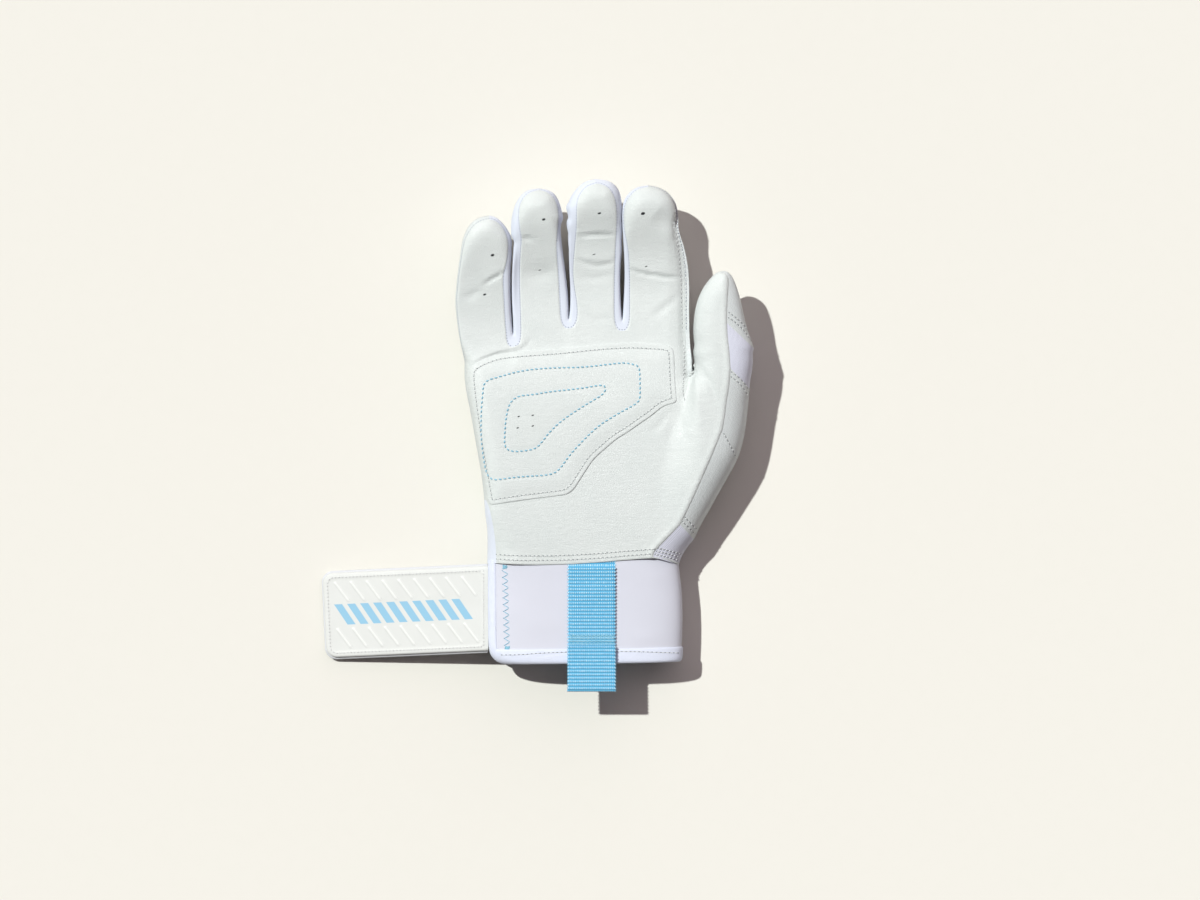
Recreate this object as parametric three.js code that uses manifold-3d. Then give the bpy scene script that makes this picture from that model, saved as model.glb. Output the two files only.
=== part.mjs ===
// Batting glove for the right hand, lying on its back with the palm up and the wrist strap open.
// Millimetres, +Z up. The origin is on the flat resting face, at the middle of the wrist line, and the
// fingers point along +Y. Every panel is cut from one hollow skin, as a glove is cut and sewn.
import * as THREE from "three";
import { mergeVertices } from "three/addons/utils/BufferGeometryUtils.js";
import Module from "manifold-3d";

const wasm = await Module();
wasm.setup();

// Fits
const CLEARANCE = 0.3; // between sewn pieces
const OVERRUN = 60; // how far a cutting shape runs past what it cuts

// Hand
const PINKY_ROOT_WIDTH = 23.6;
const RING_ROOT_WIDTH = 26.6;
const MIDDLE_ROOT_WIDTH = 25.2;
const INDEX_ROOT_WIDTH = 33.8;
const PALM_LENGTH = 103.7; // wrist line to the fork beside the pinky
const PALM_DEPTH = 33;
const PINKY_EDGE = 57.6; // centre line to the outer edge at the knuckles
const WRIST_WIDTH = 92.6;
const REST_CUT = 0.5; // how much the resting face is pressed flat
const HEEL = 1.2; // leather past the wrist line
const LEATHER = 1;

// Fingers: length from the knuckle, width near the tip, place of the knuckle past the pinky's fork
const PINKY_LENGTH = 62.4;
const RING_LENGTH = 71.3;
const MIDDLE_LENGTH = 71.6;
const INDEX_LENGTH = 69.1;
const PINKY_TIP_WIDTH = 24;
const RING_TIP_WIDTH = 24.5;
const MIDDLE_TIP_WIDTH = 26.2;
const INDEX_TIP_WIDTH = 25.2;
const RING_KNUCKLE_STEP = 3.8;
const MIDDLE_KNUCKLE_STEP = 8.1;
const INDEX_KNUCKLE_STEP = 7.2;
const PINKY_BOW = -3.2;
const INDEX_BOW = 3;
const PINKY_TIP_SHIFT = 0.2;
const RING_TIP_SHIFT = -1.3;
const MIDDLE_TIP_SHIFT = 0.2;
const INDEX_TIP_SHIFT = -3;
const FINGER_ROOT_DEPTH = 23.2;
const FINGER_MIDDLE_DEPTH = 20.6;
const FINGER_TIP_DEPTH = 22.4;
const FINGER_ROOT_HEIGHT = 15; // middle of the finger above the resting face
const FINGER_TIP_HEIGHT = 28;
const TIP_DOME = 10.6;
const FOURCHETTE_WIDTH = 4.2;
const VENT_DIAMETER = 1.6;

// Thumb
const THUMB_LENGTH = 51;
const THUMB_TIP_WIDTH = 22;
const THUMB_ROOT_WIDTH = 28.4;
const THUMB_ROOT_X = 65.6;
const THUMB_KNUCKLE = 88.3;
const THUMB_ROOT_DEPTH = 29;
const THUMB_TIP_DEPTH = 21;
const THUMB_ROOT_HEIGHT = 22;
const THUMB_TIP_HEIGHT = 29;
const THUMB_DOME = 11.5;
const MOUND_DEPTH = 36;

// Palm overlay
const FOAM = 2;
const OVERLAY = 1;
const OVERLAY_RIM = 2.4; // sewn rim round the foam
const QUILT_THREAD = 0.9;

// Cuff
const CUFF_LENGTH = 48;
const CUFF_DEPTH = 24.4;
const CUFF_HEIGHT = 13.9; // its middle above the resting face
const NEOPRENE = 2.2;
const BINDING = 0.8;
const HEM_BINDING_WIDTH = 6.2;
const SLIT_BINDING_WIDTH = 4.8;
const SLIT_BOTTOM = 8.4;
const SLIT_TOP = 19;
const SLIT_REACH = 12; // how far the slit eats into the side of the cuff
const LOOP_PAD_LENGTH = 66;
const LOOP_PAD_WIDTH = 32;
const LOOP_PAD = 1.2;
const ZIGZAG_WIDTH = 3.1;
const ZIGZAG_PITCH = 3.3;
const ZIGZAG_THREAD = 0.8;
const ZIGZAG_INSET = 9.2; // cuff's slit edge to the middle of the zigzag

// Pull tab
const TAB_WIDTH = 22.8;
const TAB_OFFSET = 3.7; // its middle from the centre line
const WEBBING = 1.3;
const TAB_SEWN_LENGTH = 40.2;
const TAB_LOOP_LENGTH = 21.6;
const TAB_LOOP_GAP = 0.6;

// Strap
const STRAP_WIDTH = 42.7;
const STRAP_LENGTH = 78.5;
const STRAP_FOLD = 21; // cuff edge to the fold line
const STRAP_HEIGHT = 14.6; // its underside above the resting face, at the cuff
const STRAP_SKEW_DEGREES = 2.8; // free end towards the hem
const STRAP_MIDDLE = 22.4; // wrist line to the strap's middle, at the cuff
const STRAP_BASE = 1.6;
const STRAP_PATCH = 1.8;
const STRAP_CORNER = 5;
const STRAP_STEP = 1.2; // patch inset from the base
const RIDGE_WIDTH = 2.2;
const RIDGE_DEPTH = 0.5;
const RIB_COUNT = 9;
const RIB_PITCH = 7.9;
const RIB_LENGTH = 9.4;
const RIB_WIDTH = 2.6;
const RIB_HEIGHT = 0.9;
const RIB_LEAN_DEGREES = 33; // from the strap's width
const RIB_ROW_INSET = 9; // strap's edge to the middle of a row
const HOOK_PAD = 1.1;
const HOOK_PAD_LENGTH = 44;
const HOOK_PAD_MARGIN = 5;
const ANCHOR_LENGTH = 12;

// Faces round a section, and shape of a section (2 is an ellipse, more is boxier)
const RING_POINT_COUNT = 24;
const FINGER_POINT_COUNT = 16;
const PALM_POWER = 2.7;
const FINGER_POWER = 2.3;

const HAND_WIDTH = PINKY_ROOT_WIDTH + RING_ROOT_WIDTH + MIDDLE_ROOT_WIDTH + INDEX_ROOT_WIDTH;
const GAP = CLEARANCE / 2; // each piece's half of a seam gap

// Colours from the photograph
const COLOURS = {
  leather: { color: 0xe4e8e6, roughness: 0.55, metalness: 0 },
  back: { color: 0xdfe3e4, roughness: 0.6, metalness: 0 },
  stretch: { color: 0xdfe6f2, roughness: 0.8, metalness: 0 },
  knit: { color: 0xd2d4e0, roughness: 0.9, metalness: 0 },
  neoprene: { color: 0xdcdeea, roughness: 0.85, metalness: 0 },
  binding: { color: 0xeef4ff, roughness: 0.75, metalness: 0 },
  foam: { color: 0xf0ead8, roughness: 0.95, metalness: 0 },
  webbing: { color: 0x7fc4e2, roughness: 0.8, metalness: 0 },
  thread: { color: 0x6fb6dd, roughness: 0.7, metalness: 0 },
  rubber: { color: 0xf4f4f1, roughness: 0.5, metalness: 0 },
  fastener: { color: 0xe6e8ec, roughness: 0.95, metalness: 0 },
};

// A closed geometry as a solid that can be joined and cut.
function solid(geometry) {
  const bare = geometry.index ? geometry.toNonIndexed() : geometry.clone();
  for (const name of Object.keys(bare.attributes)) {
    if (name !== "position") bare.deleteAttribute(name);
  }
  const merged = mergeVertices(bare, 1e-4);
  return new wasm.Manifold(
    new wasm.Mesh({
      numProp: 3,
      vertProperties: new Float32Array(merged.attributes.position.array),
      triVerts: new Uint32Array(merged.index.array),
    }),
  );
}

// A cut can leave slivers beside a piece, so the piece is its largest body.
function mainBody(shape) {
  const bodies = shape.decompose();
  return bodies.reduce((best, next) => (next.volume() > best.volume() ? next : best));
}

function geometryOf(shape) {
  const data = shape.getMesh();
  const positions = new Float32Array(data.numVert * 3);
  for (let i = 0; i < data.numVert; i++) {
    positions.set(data.vertProperties.subarray(i * data.numProp, i * data.numProp + 3), i * 3);
  }
  const geometry = new THREE.BufferGeometry();
  geometry.setAttribute("position", new THREE.BufferAttribute(positions, 3));
  geometry.setIndex(new THREE.BufferAttribute(new Uint32Array(data.triVerts), 1));
  geometry.computeVertexNormals();
  return geometry;
}

function piece(name, shape, finish) {
  const mesh = new THREE.Mesh(geometryOf(mainBody(shape)), new THREE.MeshStandardMaterial(COLOURS[finish]));
  mesh.name = name;
  return mesh;
}

// Straight-line look-up in a table of [share, value] rows.
function lookUp(rows, share) {
  const last = rows.length - 1;
  if (share <= rows[0][0]) return rows[0][1];
  for (let i = 0; i < last; i++) {
    const [from, low] = rows[i];
    const [to, high] = rows[i + 1];
    if (share <= to) return low + ((high - low) * (share - from)) / (to - from);
  }
  return rows[last][1];
}

// A ring of one section across Y: x, z middle, half width, half depth.
function sectionRing(station, points, power) {
  const ring = [];
  for (let i = 0; i < points; i++) {
    const angle = (2 * Math.PI * i) / points;
    const c = Math.cos(angle);
    const s = Math.sin(angle);
    const x = station.halfWidth * Math.sign(c) * Math.abs(c) ** (2 / power);
    const z = station.halfDepth * Math.sign(s) * Math.abs(s) ** (2 / power);
    ring.push(new THREE.Vector3(station.x + x, station.y, station.z + z));
  }
  return ring;
}

// A closed body through sections that follow one another along +Y.
function loft(stations, points, power) {
  const positions = [];
  const index = [];
  for (const station of stations) {
    for (const p of sectionRing(station, points, power)) positions.push(p.x, p.y, p.z);
  }
  for (let j = 0; j + 1 < stations.length; j++) {
    for (let i = 0; i < points; i++) {
      const a = j * points + i;
      const b = j * points + ((i + 1) % points);
      index.push(a, a + points, b, b, a + points, b + points);
    }
  }
  const ends = [stations[0], stations[stations.length - 1]];
  ends.forEach((station, end) => {
    const middle = positions.length / 3;
    const first = end * (stations.length - 1) * points;
    positions.push(station.x, station.y, station.z);
    for (let i = 0; i < points; i++) {
      const here = first + i;
      const next = first + ((i + 1) % points);
      index.push(...(end ? [middle, next, here] : [middle, here, next]));
    }
  });
  const geometry = new THREE.BufferGeometry();
  geometry.setAttribute("position", new THREE.Float32BufferAttribute(positions, 3));
  geometry.setIndex(index);
  return solid(geometry);
}

// A solid with the given XY outline, from one height to another.
function upright(outline, from, to) {
  const shape = new THREE.Shape(outline.map(([x, y]) => new THREE.Vector2(x, y)));
  const geometry = new THREE.ExtrudeGeometry(shape, { depth: to - from, bevelEnabled: false });
  return solid(geometry.translate(0, 0, from));
}

// A solid with the given YZ outline, running across X.
function crosswise(outline, from, to) {
  const shape = new THREE.Shape(outline.map(([y, z]) => new THREE.Vector2(y, z)));
  const geometry = new THREE.ExtrudeGeometry(shape, { depth: to - from, bevelEnabled: false });
  const turn = new THREE.Matrix4().set(0, 0, 1, from, 1, 0, 0, 0, 0, 1, 0, 0, 0, 0, 0, 1);
  return solid(geometry.applyMatrix4(turn));
}

function block(x0, x1, y0, y1, z0, z1) {
  return upright([[x0, y0], [x1, y0], [x1, y1], [x0, y1]], z0, z1);
}

function tall(outline) {
  return upright(outline, -OVERRUN, OVERRUN);
}

// Everything between two heights, wherever it is.
const FAR = OVERRUN * 4;
function layer(from, to) {
  return block(-FAR, FAR, -FAR, FAR, from, to);
}

// Palm: place of its two edges and its depth along its length, as shares of width, length and depth
const PALM_EDGE_SHARES = [
  [-0.06, -0.424, 0.424, 0.78],
  [0, -0.424, 0.42, 0.8],
  [0.16, -0.424, 0.44, 0.88],
  [0.31, -0.436, 0.5, 0.98],
  [0.46, -0.46, 0.53, 1],
  [0.62, -0.487, 0.53, 1],
  [0.78, -0.515, 0.51, 0.96],
  [0.9, -0.526, 0.473, 0.9],
  [0.97, -0.526, 0.472, 0.84],
  [1.03, -0.52, 0.466, 0.74],
];

function palmLoft(grow) {
  const last = PALM_EDGE_SHARES.length - 1;
  const stations = PALM_EDGE_SHARES.map(([along, left, right, depth], i) => ({
    y: along * PALM_LENGTH + (i === last ? grow : 0),
    x: ((left + right) / 2) * HAND_WIDTH,
    z: (depth * PALM_DEPTH) / 2 - REST_CUT,
    halfWidth: ((right - left) / 2) * HAND_WIDTH + grow,
    halfDepth: (depth * PALM_DEPTH) / 2 + grow,
  }));
  return loft(stations, RING_POINT_COUNT, PALM_POWER);
}

const KNUCKLES = {
  pinky: PALM_LENGTH,
  ring: PALM_LENGTH + RING_KNUCKLE_STEP,
  middle: PALM_LENGTH + MIDDLE_KNUCKLE_STEP,
  index: PALM_LENGTH + INDEX_KNUCKLE_STEP,
};
const ROOT_WIDTHS = [PINKY_ROOT_WIDTH, RING_ROOT_WIDTH, MIDDLE_ROOT_WIDTH, INDEX_ROOT_WIDTH];
const FORKS = [-PINKY_EDGE];
for (const width of ROOT_WIDTHS) FORKS.push(FORKS[FORKS.length - 1] + width);

// Vent holes as [share along the finger, share of the half width]
const FINGERS = [
  {
    name: "pinky", length: PINKY_LENGTH, tipWidth: PINKY_TIP_WIDTH, tipShift: PINKY_TIP_SHIFT, bow: PINKY_BOW,
    ventShares: [[0.69, 0.28], [0.39, 0.2]], leftWall: false, rightWall: true,
  },
  {
    name: "ring", length: RING_LENGTH, tipWidth: RING_TIP_WIDTH, tipShift: RING_TIP_SHIFT, bow: 0,
    ventShares: [[0.79, 0.2], [0.45, 0.06]], leftWall: true, rightWall: true,
  },
  {
    name: "middle", length: MIDDLE_LENGTH, tipWidth: MIDDLE_TIP_WIDTH, tipShift: MIDDLE_TIP_SHIFT, bow: 0,
    ventShares: [[0.77, 0.16], [0.5, -0.04]], leftWall: true, rightWall: true,
  },
  {
    name: "index", length: INDEX_LENGTH, tipWidth: INDEX_TIP_WIDTH, tipShift: INDEX_TIP_SHIFT, bow: INDEX_BOW,
    ventShares: [[0.8, -0.3], [0.44, -0.44]], leftWall: true, rightWall: false,
  },
];
FINGERS.forEach((finger, i) => {
  finger.knuckle = KNUCKLES[finger.name];
  finger.from = FORKS[i];
  finger.to = FORKS[i + 1];
  finger.rootWidth = ROOT_WIDTHS[i] - CLEARANCE;
});

// How a finger changes from knuckle to tip: its width, its height, and its bow, as shares
const TAPER_SHARES = [[0, 1], [0.2, 0.8], [0.4, 0.45], [0.62, 0.12], [0.8, 0]];
const RISE_SHARES = [[0, 0], [0.25, -0.04], [0.5, 0.12], [0.75, 0.55], [0.92, 0.95], [1, 1]];
const BOW_SHARES = [[0, 0], [0.2, 0.7], [0.4, 1], [0.6, 0.7], [0.8, 0.15], [1, 0]];
const WAIST_SHARES = [[0, 0], [0.3, 0.8], [0.5, 1], [0.7, 0.6], [0.85, 0]];
const FINGER_STEP_SHARES = [0, 0.2, 0.4, 0.6, 0.75];
const DOME_ANGLES = [0, 28, 52, 70, 83];

function fingerHeight(share) {
  return FINGER_ROOT_HEIGHT + (FINGER_TIP_HEIGHT - FINGER_ROOT_HEIGHT) * lookUp(RISE_SHARES, share);
}

// One section of a finger, at a share of its length.
function fingerStation(finger, share) {
  const root = (finger.from + finger.to) / 2;
  const taper = lookUp(TAPER_SHARES, share);
  const straight = FINGER_ROOT_DEPTH + (FINGER_TIP_DEPTH - FINGER_ROOT_DEPTH) * Math.max(share, 0);
  const depth = straight + (FINGER_MIDDLE_DEPTH - straight) * lookUp(WAIST_SHARES, share);
  return {
    y: finger.knuckle + finger.length * share,
    x: root + finger.tipShift * share + finger.bow * lookUp(BOW_SHARES, share),
    z: fingerHeight(share),
    halfWidth: (finger.tipWidth + (finger.rootWidth - finger.tipWidth) * taper) / 2,
    halfDepth: depth / 2,
  };
}

// Rounds off the end of a row of sections.
function withDome(stations, end, reach, grow) {
  const grown = stations.map((s) => ({ ...s, halfWidth: s.halfWidth + grow, halfDepth: s.halfDepth + grow }));
  for (const degrees of DOME_ANGLES) {
    const angle = THREE.MathUtils.degToRad(degrees);
    grown.push({
      x: end.x,
      y: end.y + (reach + grow) * Math.sin(angle),
      z: end.z + (end.rise ?? 0) * Math.sin(angle),
      halfWidth: (end.halfWidth + grow) * Math.cos(angle),
      halfDepth: (end.halfDepth + grow) * Math.cos(angle),
    });
  }
  return grown;
}

const ROOT_TUCK = 12; // how far a finger's tube runs into the palm
function fingerLoft(finger, grow) {
  const tuck = fingerStation(finger, 0);
  const inset = grow < 0 ? ROOT_TUCK - grow * 2 : ROOT_TUCK;
  const stations = [{ ...tuck, y: tuck.y - inset, halfDepth: tuck.halfDepth - LEATHER }];
  for (const share of FINGER_STEP_SHARES) stations.push(fingerStation(finger, share));
  const end = fingerStation(finger, 1 - TIP_DOME / finger.length);
  return loft(withDome(stations, end, TIP_DOME, grow), FINGER_POINT_COUNT, FINGER_POWER);
}

// Thumb and its mound: [share of the way from wrist to knuckle, middle, half width, height, depth] as
// shares of the root's own sizes
const MOUND_SHARES = [
  [0.06, 0.5, 1.04, 0.62, 0.72],
  [0.3, 0.68, 1.14, 0.78, 0.94],
  [0.5, 0.82, 1.2, 0.84, 1],
  [0.66, 0.93, 1.16, 0.86, 1],
  [0.82, 0.99, 1.06, 0.9, 0.92],
];
const THUMB_WIDTH_SHARES = [[0, 1], [0.25, 1], [0.5, 0.8], [0.7, 0.4], [0.8, 0]];

function thumbHeight(share) {
  return THUMB_ROOT_HEIGHT + (THUMB_TIP_HEIGHT - THUMB_ROOT_HEIGHT) * share;
}

function thumbStation(share) {
  const taper = lookUp(THUMB_WIDTH_SHARES, share);
  return {
    x: THUMB_ROOT_X,
    y: THUMB_KNUCKLE + THUMB_LENGTH * share,
    z: thumbHeight(share),
    halfWidth: (THUMB_TIP_WIDTH + (THUMB_ROOT_WIDTH - THUMB_TIP_WIDTH) * taper) / 2,
    halfDepth: (THUMB_ROOT_DEPTH + (THUMB_TIP_DEPTH - THUMB_ROOT_DEPTH) * share) / 2,
  };
}

function thumbLoft(grow) {
  const stations = MOUND_SHARES.map(([along, middle, wide, height, deep], i) => ({
    x: middle * THUMB_ROOT_X,
    y: along * THUMB_KNUCKLE - (i ? 0 : grow),
    z: height * THUMB_ROOT_HEIGHT,
    halfWidth: (wide * THUMB_ROOT_WIDTH) / 2,
    halfDepth: (deep * MOUND_DEPTH) / 2,
  }));
  for (const share of [0, 0.25, 0.5]) stations.push(thumbStation(share));
  const end = thumbStation(1 - THUMB_DOME / THUMB_LENGTH);
  return loft(withDome(stations, end, THUMB_DOME, grow), FINGER_POINT_COUNT, FINGER_POWER);
}

// The whole hand, grown outwards or inwards by a thickness.
function handBody(grow) {
  let body = palmLoft(grow).add(thumbLoft(grow));
  for (const finger of FINGERS) body = body.add(fingerLoft(finger, grow));
  return body.intersect(layer(-grow, FAR));
}

const handOuter = handBody(0);
const handSkin = handOuter.subtract(handBody(-LEATHER));

// Upper half of the hand's skin: above the line along the middle of its sections.
function aboveLine(line, lift) {
  const [firstY, firstZ] = line[0];
  const [lastY, lastZ] = line[line.length - 1];
  const outline = line.map(([y, z]) => [y, z + lift]);
  outline.push([lastY + OVERRUN, lastZ + lift], [lastY + OVERRUN, lastZ + OVERRUN]);
  outline.push([firstY - OVERRUN, firstZ + OVERRUN], [firstY - OVERRUN, firstZ + lift]);
  return crosswise(outline, -FAR, FAR);
}

const PALM_LINE = PALM_EDGE_SHARES.map(([along, , , depth]) => [
  along * PALM_LENGTH,
  (depth * PALM_DEPTH) / 2 - REST_CUT,
]);
const FINGER_HALF_SHARES = [0, 0.25, 0.5, 0.75, 0.92, 1];

function fingerLine(finger) {
  return FINGER_HALF_SHARES.map((share) => [finger.knuckle + finger.length * share, fingerHeight(share)]);
}

function thumbLine() {
  return [0, 1].map((share) => [THUMB_KNUCKLE + THUMB_LENGTH * share, thumbHeight(share)]);
}

// The skin of one finger from its knuckle on, kept clear of its neighbours.
function fingerSkin(finger) {
  const outside = finger.name === "pinky" ? OVERRUN : -GAP;
  const column = [
    [finger.from - outside, finger.knuckle + GAP],
    [finger.to - GAP, finger.knuckle + GAP],
    [finger.to - GAP, finger.knuckle + finger.length + OVERRUN],
    [finger.from - outside, finger.knuckle + finger.length + OVERRUN],
  ];
  return handSkin.intersect(tall(column));
}

// The strip of a finger that shows leather, seen from above, widened or narrowed by a lift.
function leatherOutline(finger, lift) {
  const rows = [...FINGER_STEP_SHARES, 1 - TIP_DOME / finger.length].map((s) => fingerStation(finger, s));
  const edge = (row, side, walled) => {
    const past = walled ? -FOURCHETTE_WIDTH - lift : OVERRUN;
    return row.x + side * (row.halfWidth + past);
  };
  const last = rows[rows.length - 1];
  const before = { ...rows[0], y: finger.knuckle - OVERRUN };
  const after = { ...last, y: finger.knuckle + finger.length + OVERRUN };
  const all = [before, ...rows, after];
  const right = all.map((row) => [edge(row, 1, finger.rightWall), row.y]);
  const left = all.map((row) => [edge(row, -1, finger.leftWall), row.y]).reverse();
  return [...right, ...left];
}

function ventHole(x, y) {
  const radius = VENT_DIAMETER / 2;
  const corners = 8;
  const outline = [];
  for (let i = 0; i < corners; i++) {
    const angle = (2 * Math.PI * i) / corners;
    outline.push([x + radius * Math.cos(angle), y + radius * Math.sin(angle)]);
  }
  return tall(outline);
}

function fingerPieces(finger) {
  const skin = fingerSkin(finger);
  const strip = tall(leatherOutline(finger, GAP));
  const upper = aboveLine(fingerLine(finger), GAP);
  const lower = aboveLine(fingerLine(finger), -GAP);
  let front = skin.intersect(strip).intersect(upper);
  for (const [along, across] of finger.ventShares) {
    const place = fingerStation(finger, along);
    front = front.subtract(ventHole(place.x + across * place.halfWidth, place.y));
  }
  const back = skin.intersect(strip).subtract(lower);
  const walls = skin.subtract(tall(leatherOutline(finger, -GAP)));
  const middle = fingerStation(finger, 0).x;
  const pieces = [
    piece(`${finger.name}_front`, front, "leather"),
    piece(`${finger.name}_back`, back, "back"),
  ];
  const sides = { left: [-FAR, middle, finger.leftWall], right: [middle, FAR, finger.rightWall] };
  for (const [side, [from, to, walled]] of Object.entries(sides)) {
    if (!walled) continue;
    const wall = walls.intersect(block(from, to, -FAR, FAR, -FAR, FAR));
    pieces.push(piece(`${finger.name}_fourchette_${side}`, wall, "stretch"));
  }
  return pieces;
}

// The thumb's main seam, seen from above: [share of the hand's width, share of the palm's length]
const THUMB_SEAM_SHARES = [
  [0.629, 1.6],
  [0.629, 1.21],
  [0.624, 1.1],
  [0.637, 0.967],
  [0.637, 0.83],
  [0.615, 0.645],
  [0.589, 0.564],
  [0.514, 0.38],
  [0.42, 0.173],
  [0.312, 0.055],
  [0.28, 0],
  [0.28, -0.6],
];

function seamLine(shift) {
  return THUMB_SEAM_SHARES.map(([x, y]) => [x * HAND_WIDTH + shift, y * PALM_LENGTH]);
}

// Everything on the outer side of the thumb's main seam.
function outsideSeam(shift) {
  return tall([...seamLine(shift), [FAR, -FAR], [FAR, FAR]]);
}

function insideSeam(shift) {
  return tall([...seamLine(shift), [-FAR, -FAR], [-FAR, FAR]]);
}

// A cross seam on the outside of the thumb, as heights along the palm at its two ends
const TIP_SEAM_SHARES = [1.102, 0.981];
const BASE_SEAM_SHARES = [0.611, 0.495];
const GUSSET_SEAM_SHARES = [0.2, 0.09];
const SEAM_START_SHARE = 0.43;
const SEAM_END_SHARE = 0.74;

// Everything past a cross seam, towards the fingertips.
function pastSeam([start, end], shift) {
  const slope = ((end - start) * PALM_LENGTH) / ((SEAM_END_SHARE - SEAM_START_SHARE) * HAND_WIDTH);
  const at = (x) => start * PALM_LENGTH + slope * (x - SEAM_START_SHARE * HAND_WIDTH) + shift;
  return tall([[-FAR, at(-FAR)], [FAR, at(FAR)], [FAR, FAR * 4], [-FAR, FAR * 4]]);
}

function thumbPieces() {
  const column = block(FORKS[4] + GAP, FAR, THUMB_KNUCKLE + GAP, FAR, -FAR, FAR);
  const skin = handSkin.intersect(column);
  const front = skin.intersect(insideSeam(-GAP)).intersect(aboveLine(thumbLine(), GAP));
  const wrap = skin.subtract(insideSeam(GAP).intersect(aboveLine(thumbLine(), -GAP)));
  return [
    piece("thumb_front", front, "leather"),
    piece("thumb_tip_patch", wrap.intersect(pastSeam(TIP_SEAM_SHARES, GAP)), "leather"),
    piece("thumb_knit_panel", wrap.subtract(pastSeam(TIP_SEAM_SHARES, -GAP)), "knit"),
  ];
}

// The part of the skin that doesn't move: below every knuckle, and above the wrist line.
function rootRegion() {
  let region = null;
  const join = (next) => {
    region = region ? region.add(next) : next;
  };
  FINGERS.forEach((finger, i) => {
    const from = i === 0 ? -FAR : finger.from - GAP;
    join(block(from, finger.to + (i === 3 ? 0 : GAP), GAP - HEEL, finger.knuckle - GAP, -FAR, FAR));
  });
  join(block(FORKS[4] - CLEARANCE, FAR, GAP - HEEL, THUMB_KNUCKLE - GAP, -FAR, FAR));
  return region;
}

// A finger may reach past its knuckle line beside a lower neighbour, so the root stays clear of it.
function clearOfFingers(region) {
  let cut = region;
  FINGERS.forEach((finger, i) => {
    const from = i === 0 ? -FAR : finger.from - GAP;
    cut = cut.subtract(block(from, finger.to + GAP, finger.knuckle - GAP, FAR, -FAR, FAR));
  });
  return cut.subtract(block(FORKS[4] - GAP, FAR, THUMB_KNUCKLE - GAP, FAR, -FAR, FAR));
}

// Inner edge of the stretch strip beside the heel of the hand: [share of width, share of length]
const SIDE_STRIP_SHARES = [
  [-0.6, 0.305],
  [-0.436, 0.305],
  [-0.413, 0.259],
  [-0.4, 0.18],
  [-0.387, 0.04],
  [-0.385, -0.6],
  [-0.6, -0.6],
];

function sideStrip(shift) {
  return tall(SIDE_STRIP_SHARES.map(([x, y]) => [x * HAND_WIDTH + shift, y * PALM_LENGTH + shift]));
}

function handPieces() {
  const skin = handSkin.intersect(clearOfFingers(rootRegion()));
  const inner = skin.intersect(insideSeam(-GAP)).subtract(sideStrip(GAP));
  const outer = skin.intersect(outsideSeam(GAP));
  const aboveBase = pastSeam(BASE_SEAM_SHARES, GAP);
  const belowBase = pastSeam(BASE_SEAM_SHARES, -GAP);
  const aboveGusset = pastSeam(GUSSET_SEAM_SHARES, GAP);
  const belowGusset = pastSeam(GUSSET_SEAM_SHARES, -GAP);
  return [
    piece("palm_leather", inner.intersect(aboveLine(PALM_LINE, GAP)), "leather"),
    piece("back_panel", inner.subtract(aboveLine(PALM_LINE, -GAP)), "back"),
    piece("pinky_side_strip", skin.intersect(sideStrip(-GAP)), "stretch"),
    piece("thumb_base_panel_upper", outer.intersect(aboveBase), "leather"),
    piece("thumb_base_panel_lower", outer.subtract(belowBase).intersect(aboveGusset), "leather"),
    piece("wrist_gusset", outer.subtract(belowGusset), "knit"),
  ];
}

// Outlines on the palm, as [share of the hand's width, share of the palm's length]
const OVERLAY_OUTLINE_SHARES = [
  [-0.5, 0.9], [-0.44, 0.945], [-0.35, 0.968], [-0.2, 0.98], [-0.04, 0.99], [0.12, 1.013], [0.24, 1.017],
  [0.345, 1.01], [0.392, 0.985], [0.4, 0.9], [0.408, 0.77], [0.38, 0.725], [0.33, 0.708], [0.27, 0.65],
  [0.19, 0.597], [0.1, 0.527], [0.02, 0.44], [-0.04, 0.34], [-0.08, 0.31], [-0.18, 0.296], [-0.29, 0.28],
  [-0.4, 0.263], [-0.43, 0.3], [-0.447, 0.4], [-0.47, 0.55], [-0.495, 0.72],
];
const OUTER_LOOP_SHARES = [
  [-0.44, 0.83], [-0.37, 0.857], [-0.24, 0.888], [-0.11, 0.899], [0, 0.9], [0.1, 0.912], [0.19, 0.919],
  [0.238, 0.905], [0.246, 0.81], [0.24, 0.74], [0.17, 0.7], [0.07, 0.635], [-0.03, 0.53], [-0.1, 0.44],
  [-0.16, 0.404], [-0.26, 0.395], [-0.38, 0.381], [-0.425, 0.4], [-0.445, 0.52], [-0.451, 0.69],
];
const INNER_LOOP_SHARES = [
  [-0.33, 0.722], [-0.283, 0.768], [-0.19, 0.782], [-0.07, 0.796], [0.02, 0.808], [0.086, 0.82],
  [0.097, 0.795], [0.02, 0.736], [-0.08, 0.662], [-0.16, 0.583], [-0.21, 0.528], [-0.29, 0.51],
  [-0.342, 0.525], [-0.347, 0.6],
];
const PALM_VENT_SHARES = [[-0.286, 0.673], [-0.224, 0.679], [-0.29, 0.62], [-0.224, 0.63]];

const OUTLINE_STEP_COUNT = 2; // points on the curve for each point of the outline

// A smooth closed curve through an outline, moved in by a distance.
function smoothOutline(shares, inset) {
  const corners = shares.map(([x, y]) => new THREE.Vector3(x * HAND_WIDTH, y * PALM_LENGTH, 0));
  const curve = new THREE.CatmullRomCurve3(corners, true, "centripetal");
  const count = shares.length * OUTLINE_STEP_COUNT;
  const points = [];
  for (let i = 0; i < count; i++) {
    const p = curve.getPoint(i / count);
    const along = curve.getTangent(i / count);
    points.push([p.x + along.y * inset, p.y - along.x * inset]);
  }
  return points;
}

// What lies between two thicknesses over the palm's outer surface.
const overPalm = (from, to) => handBody(to).subtract(from ? handBody(from) : handOuter);

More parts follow.
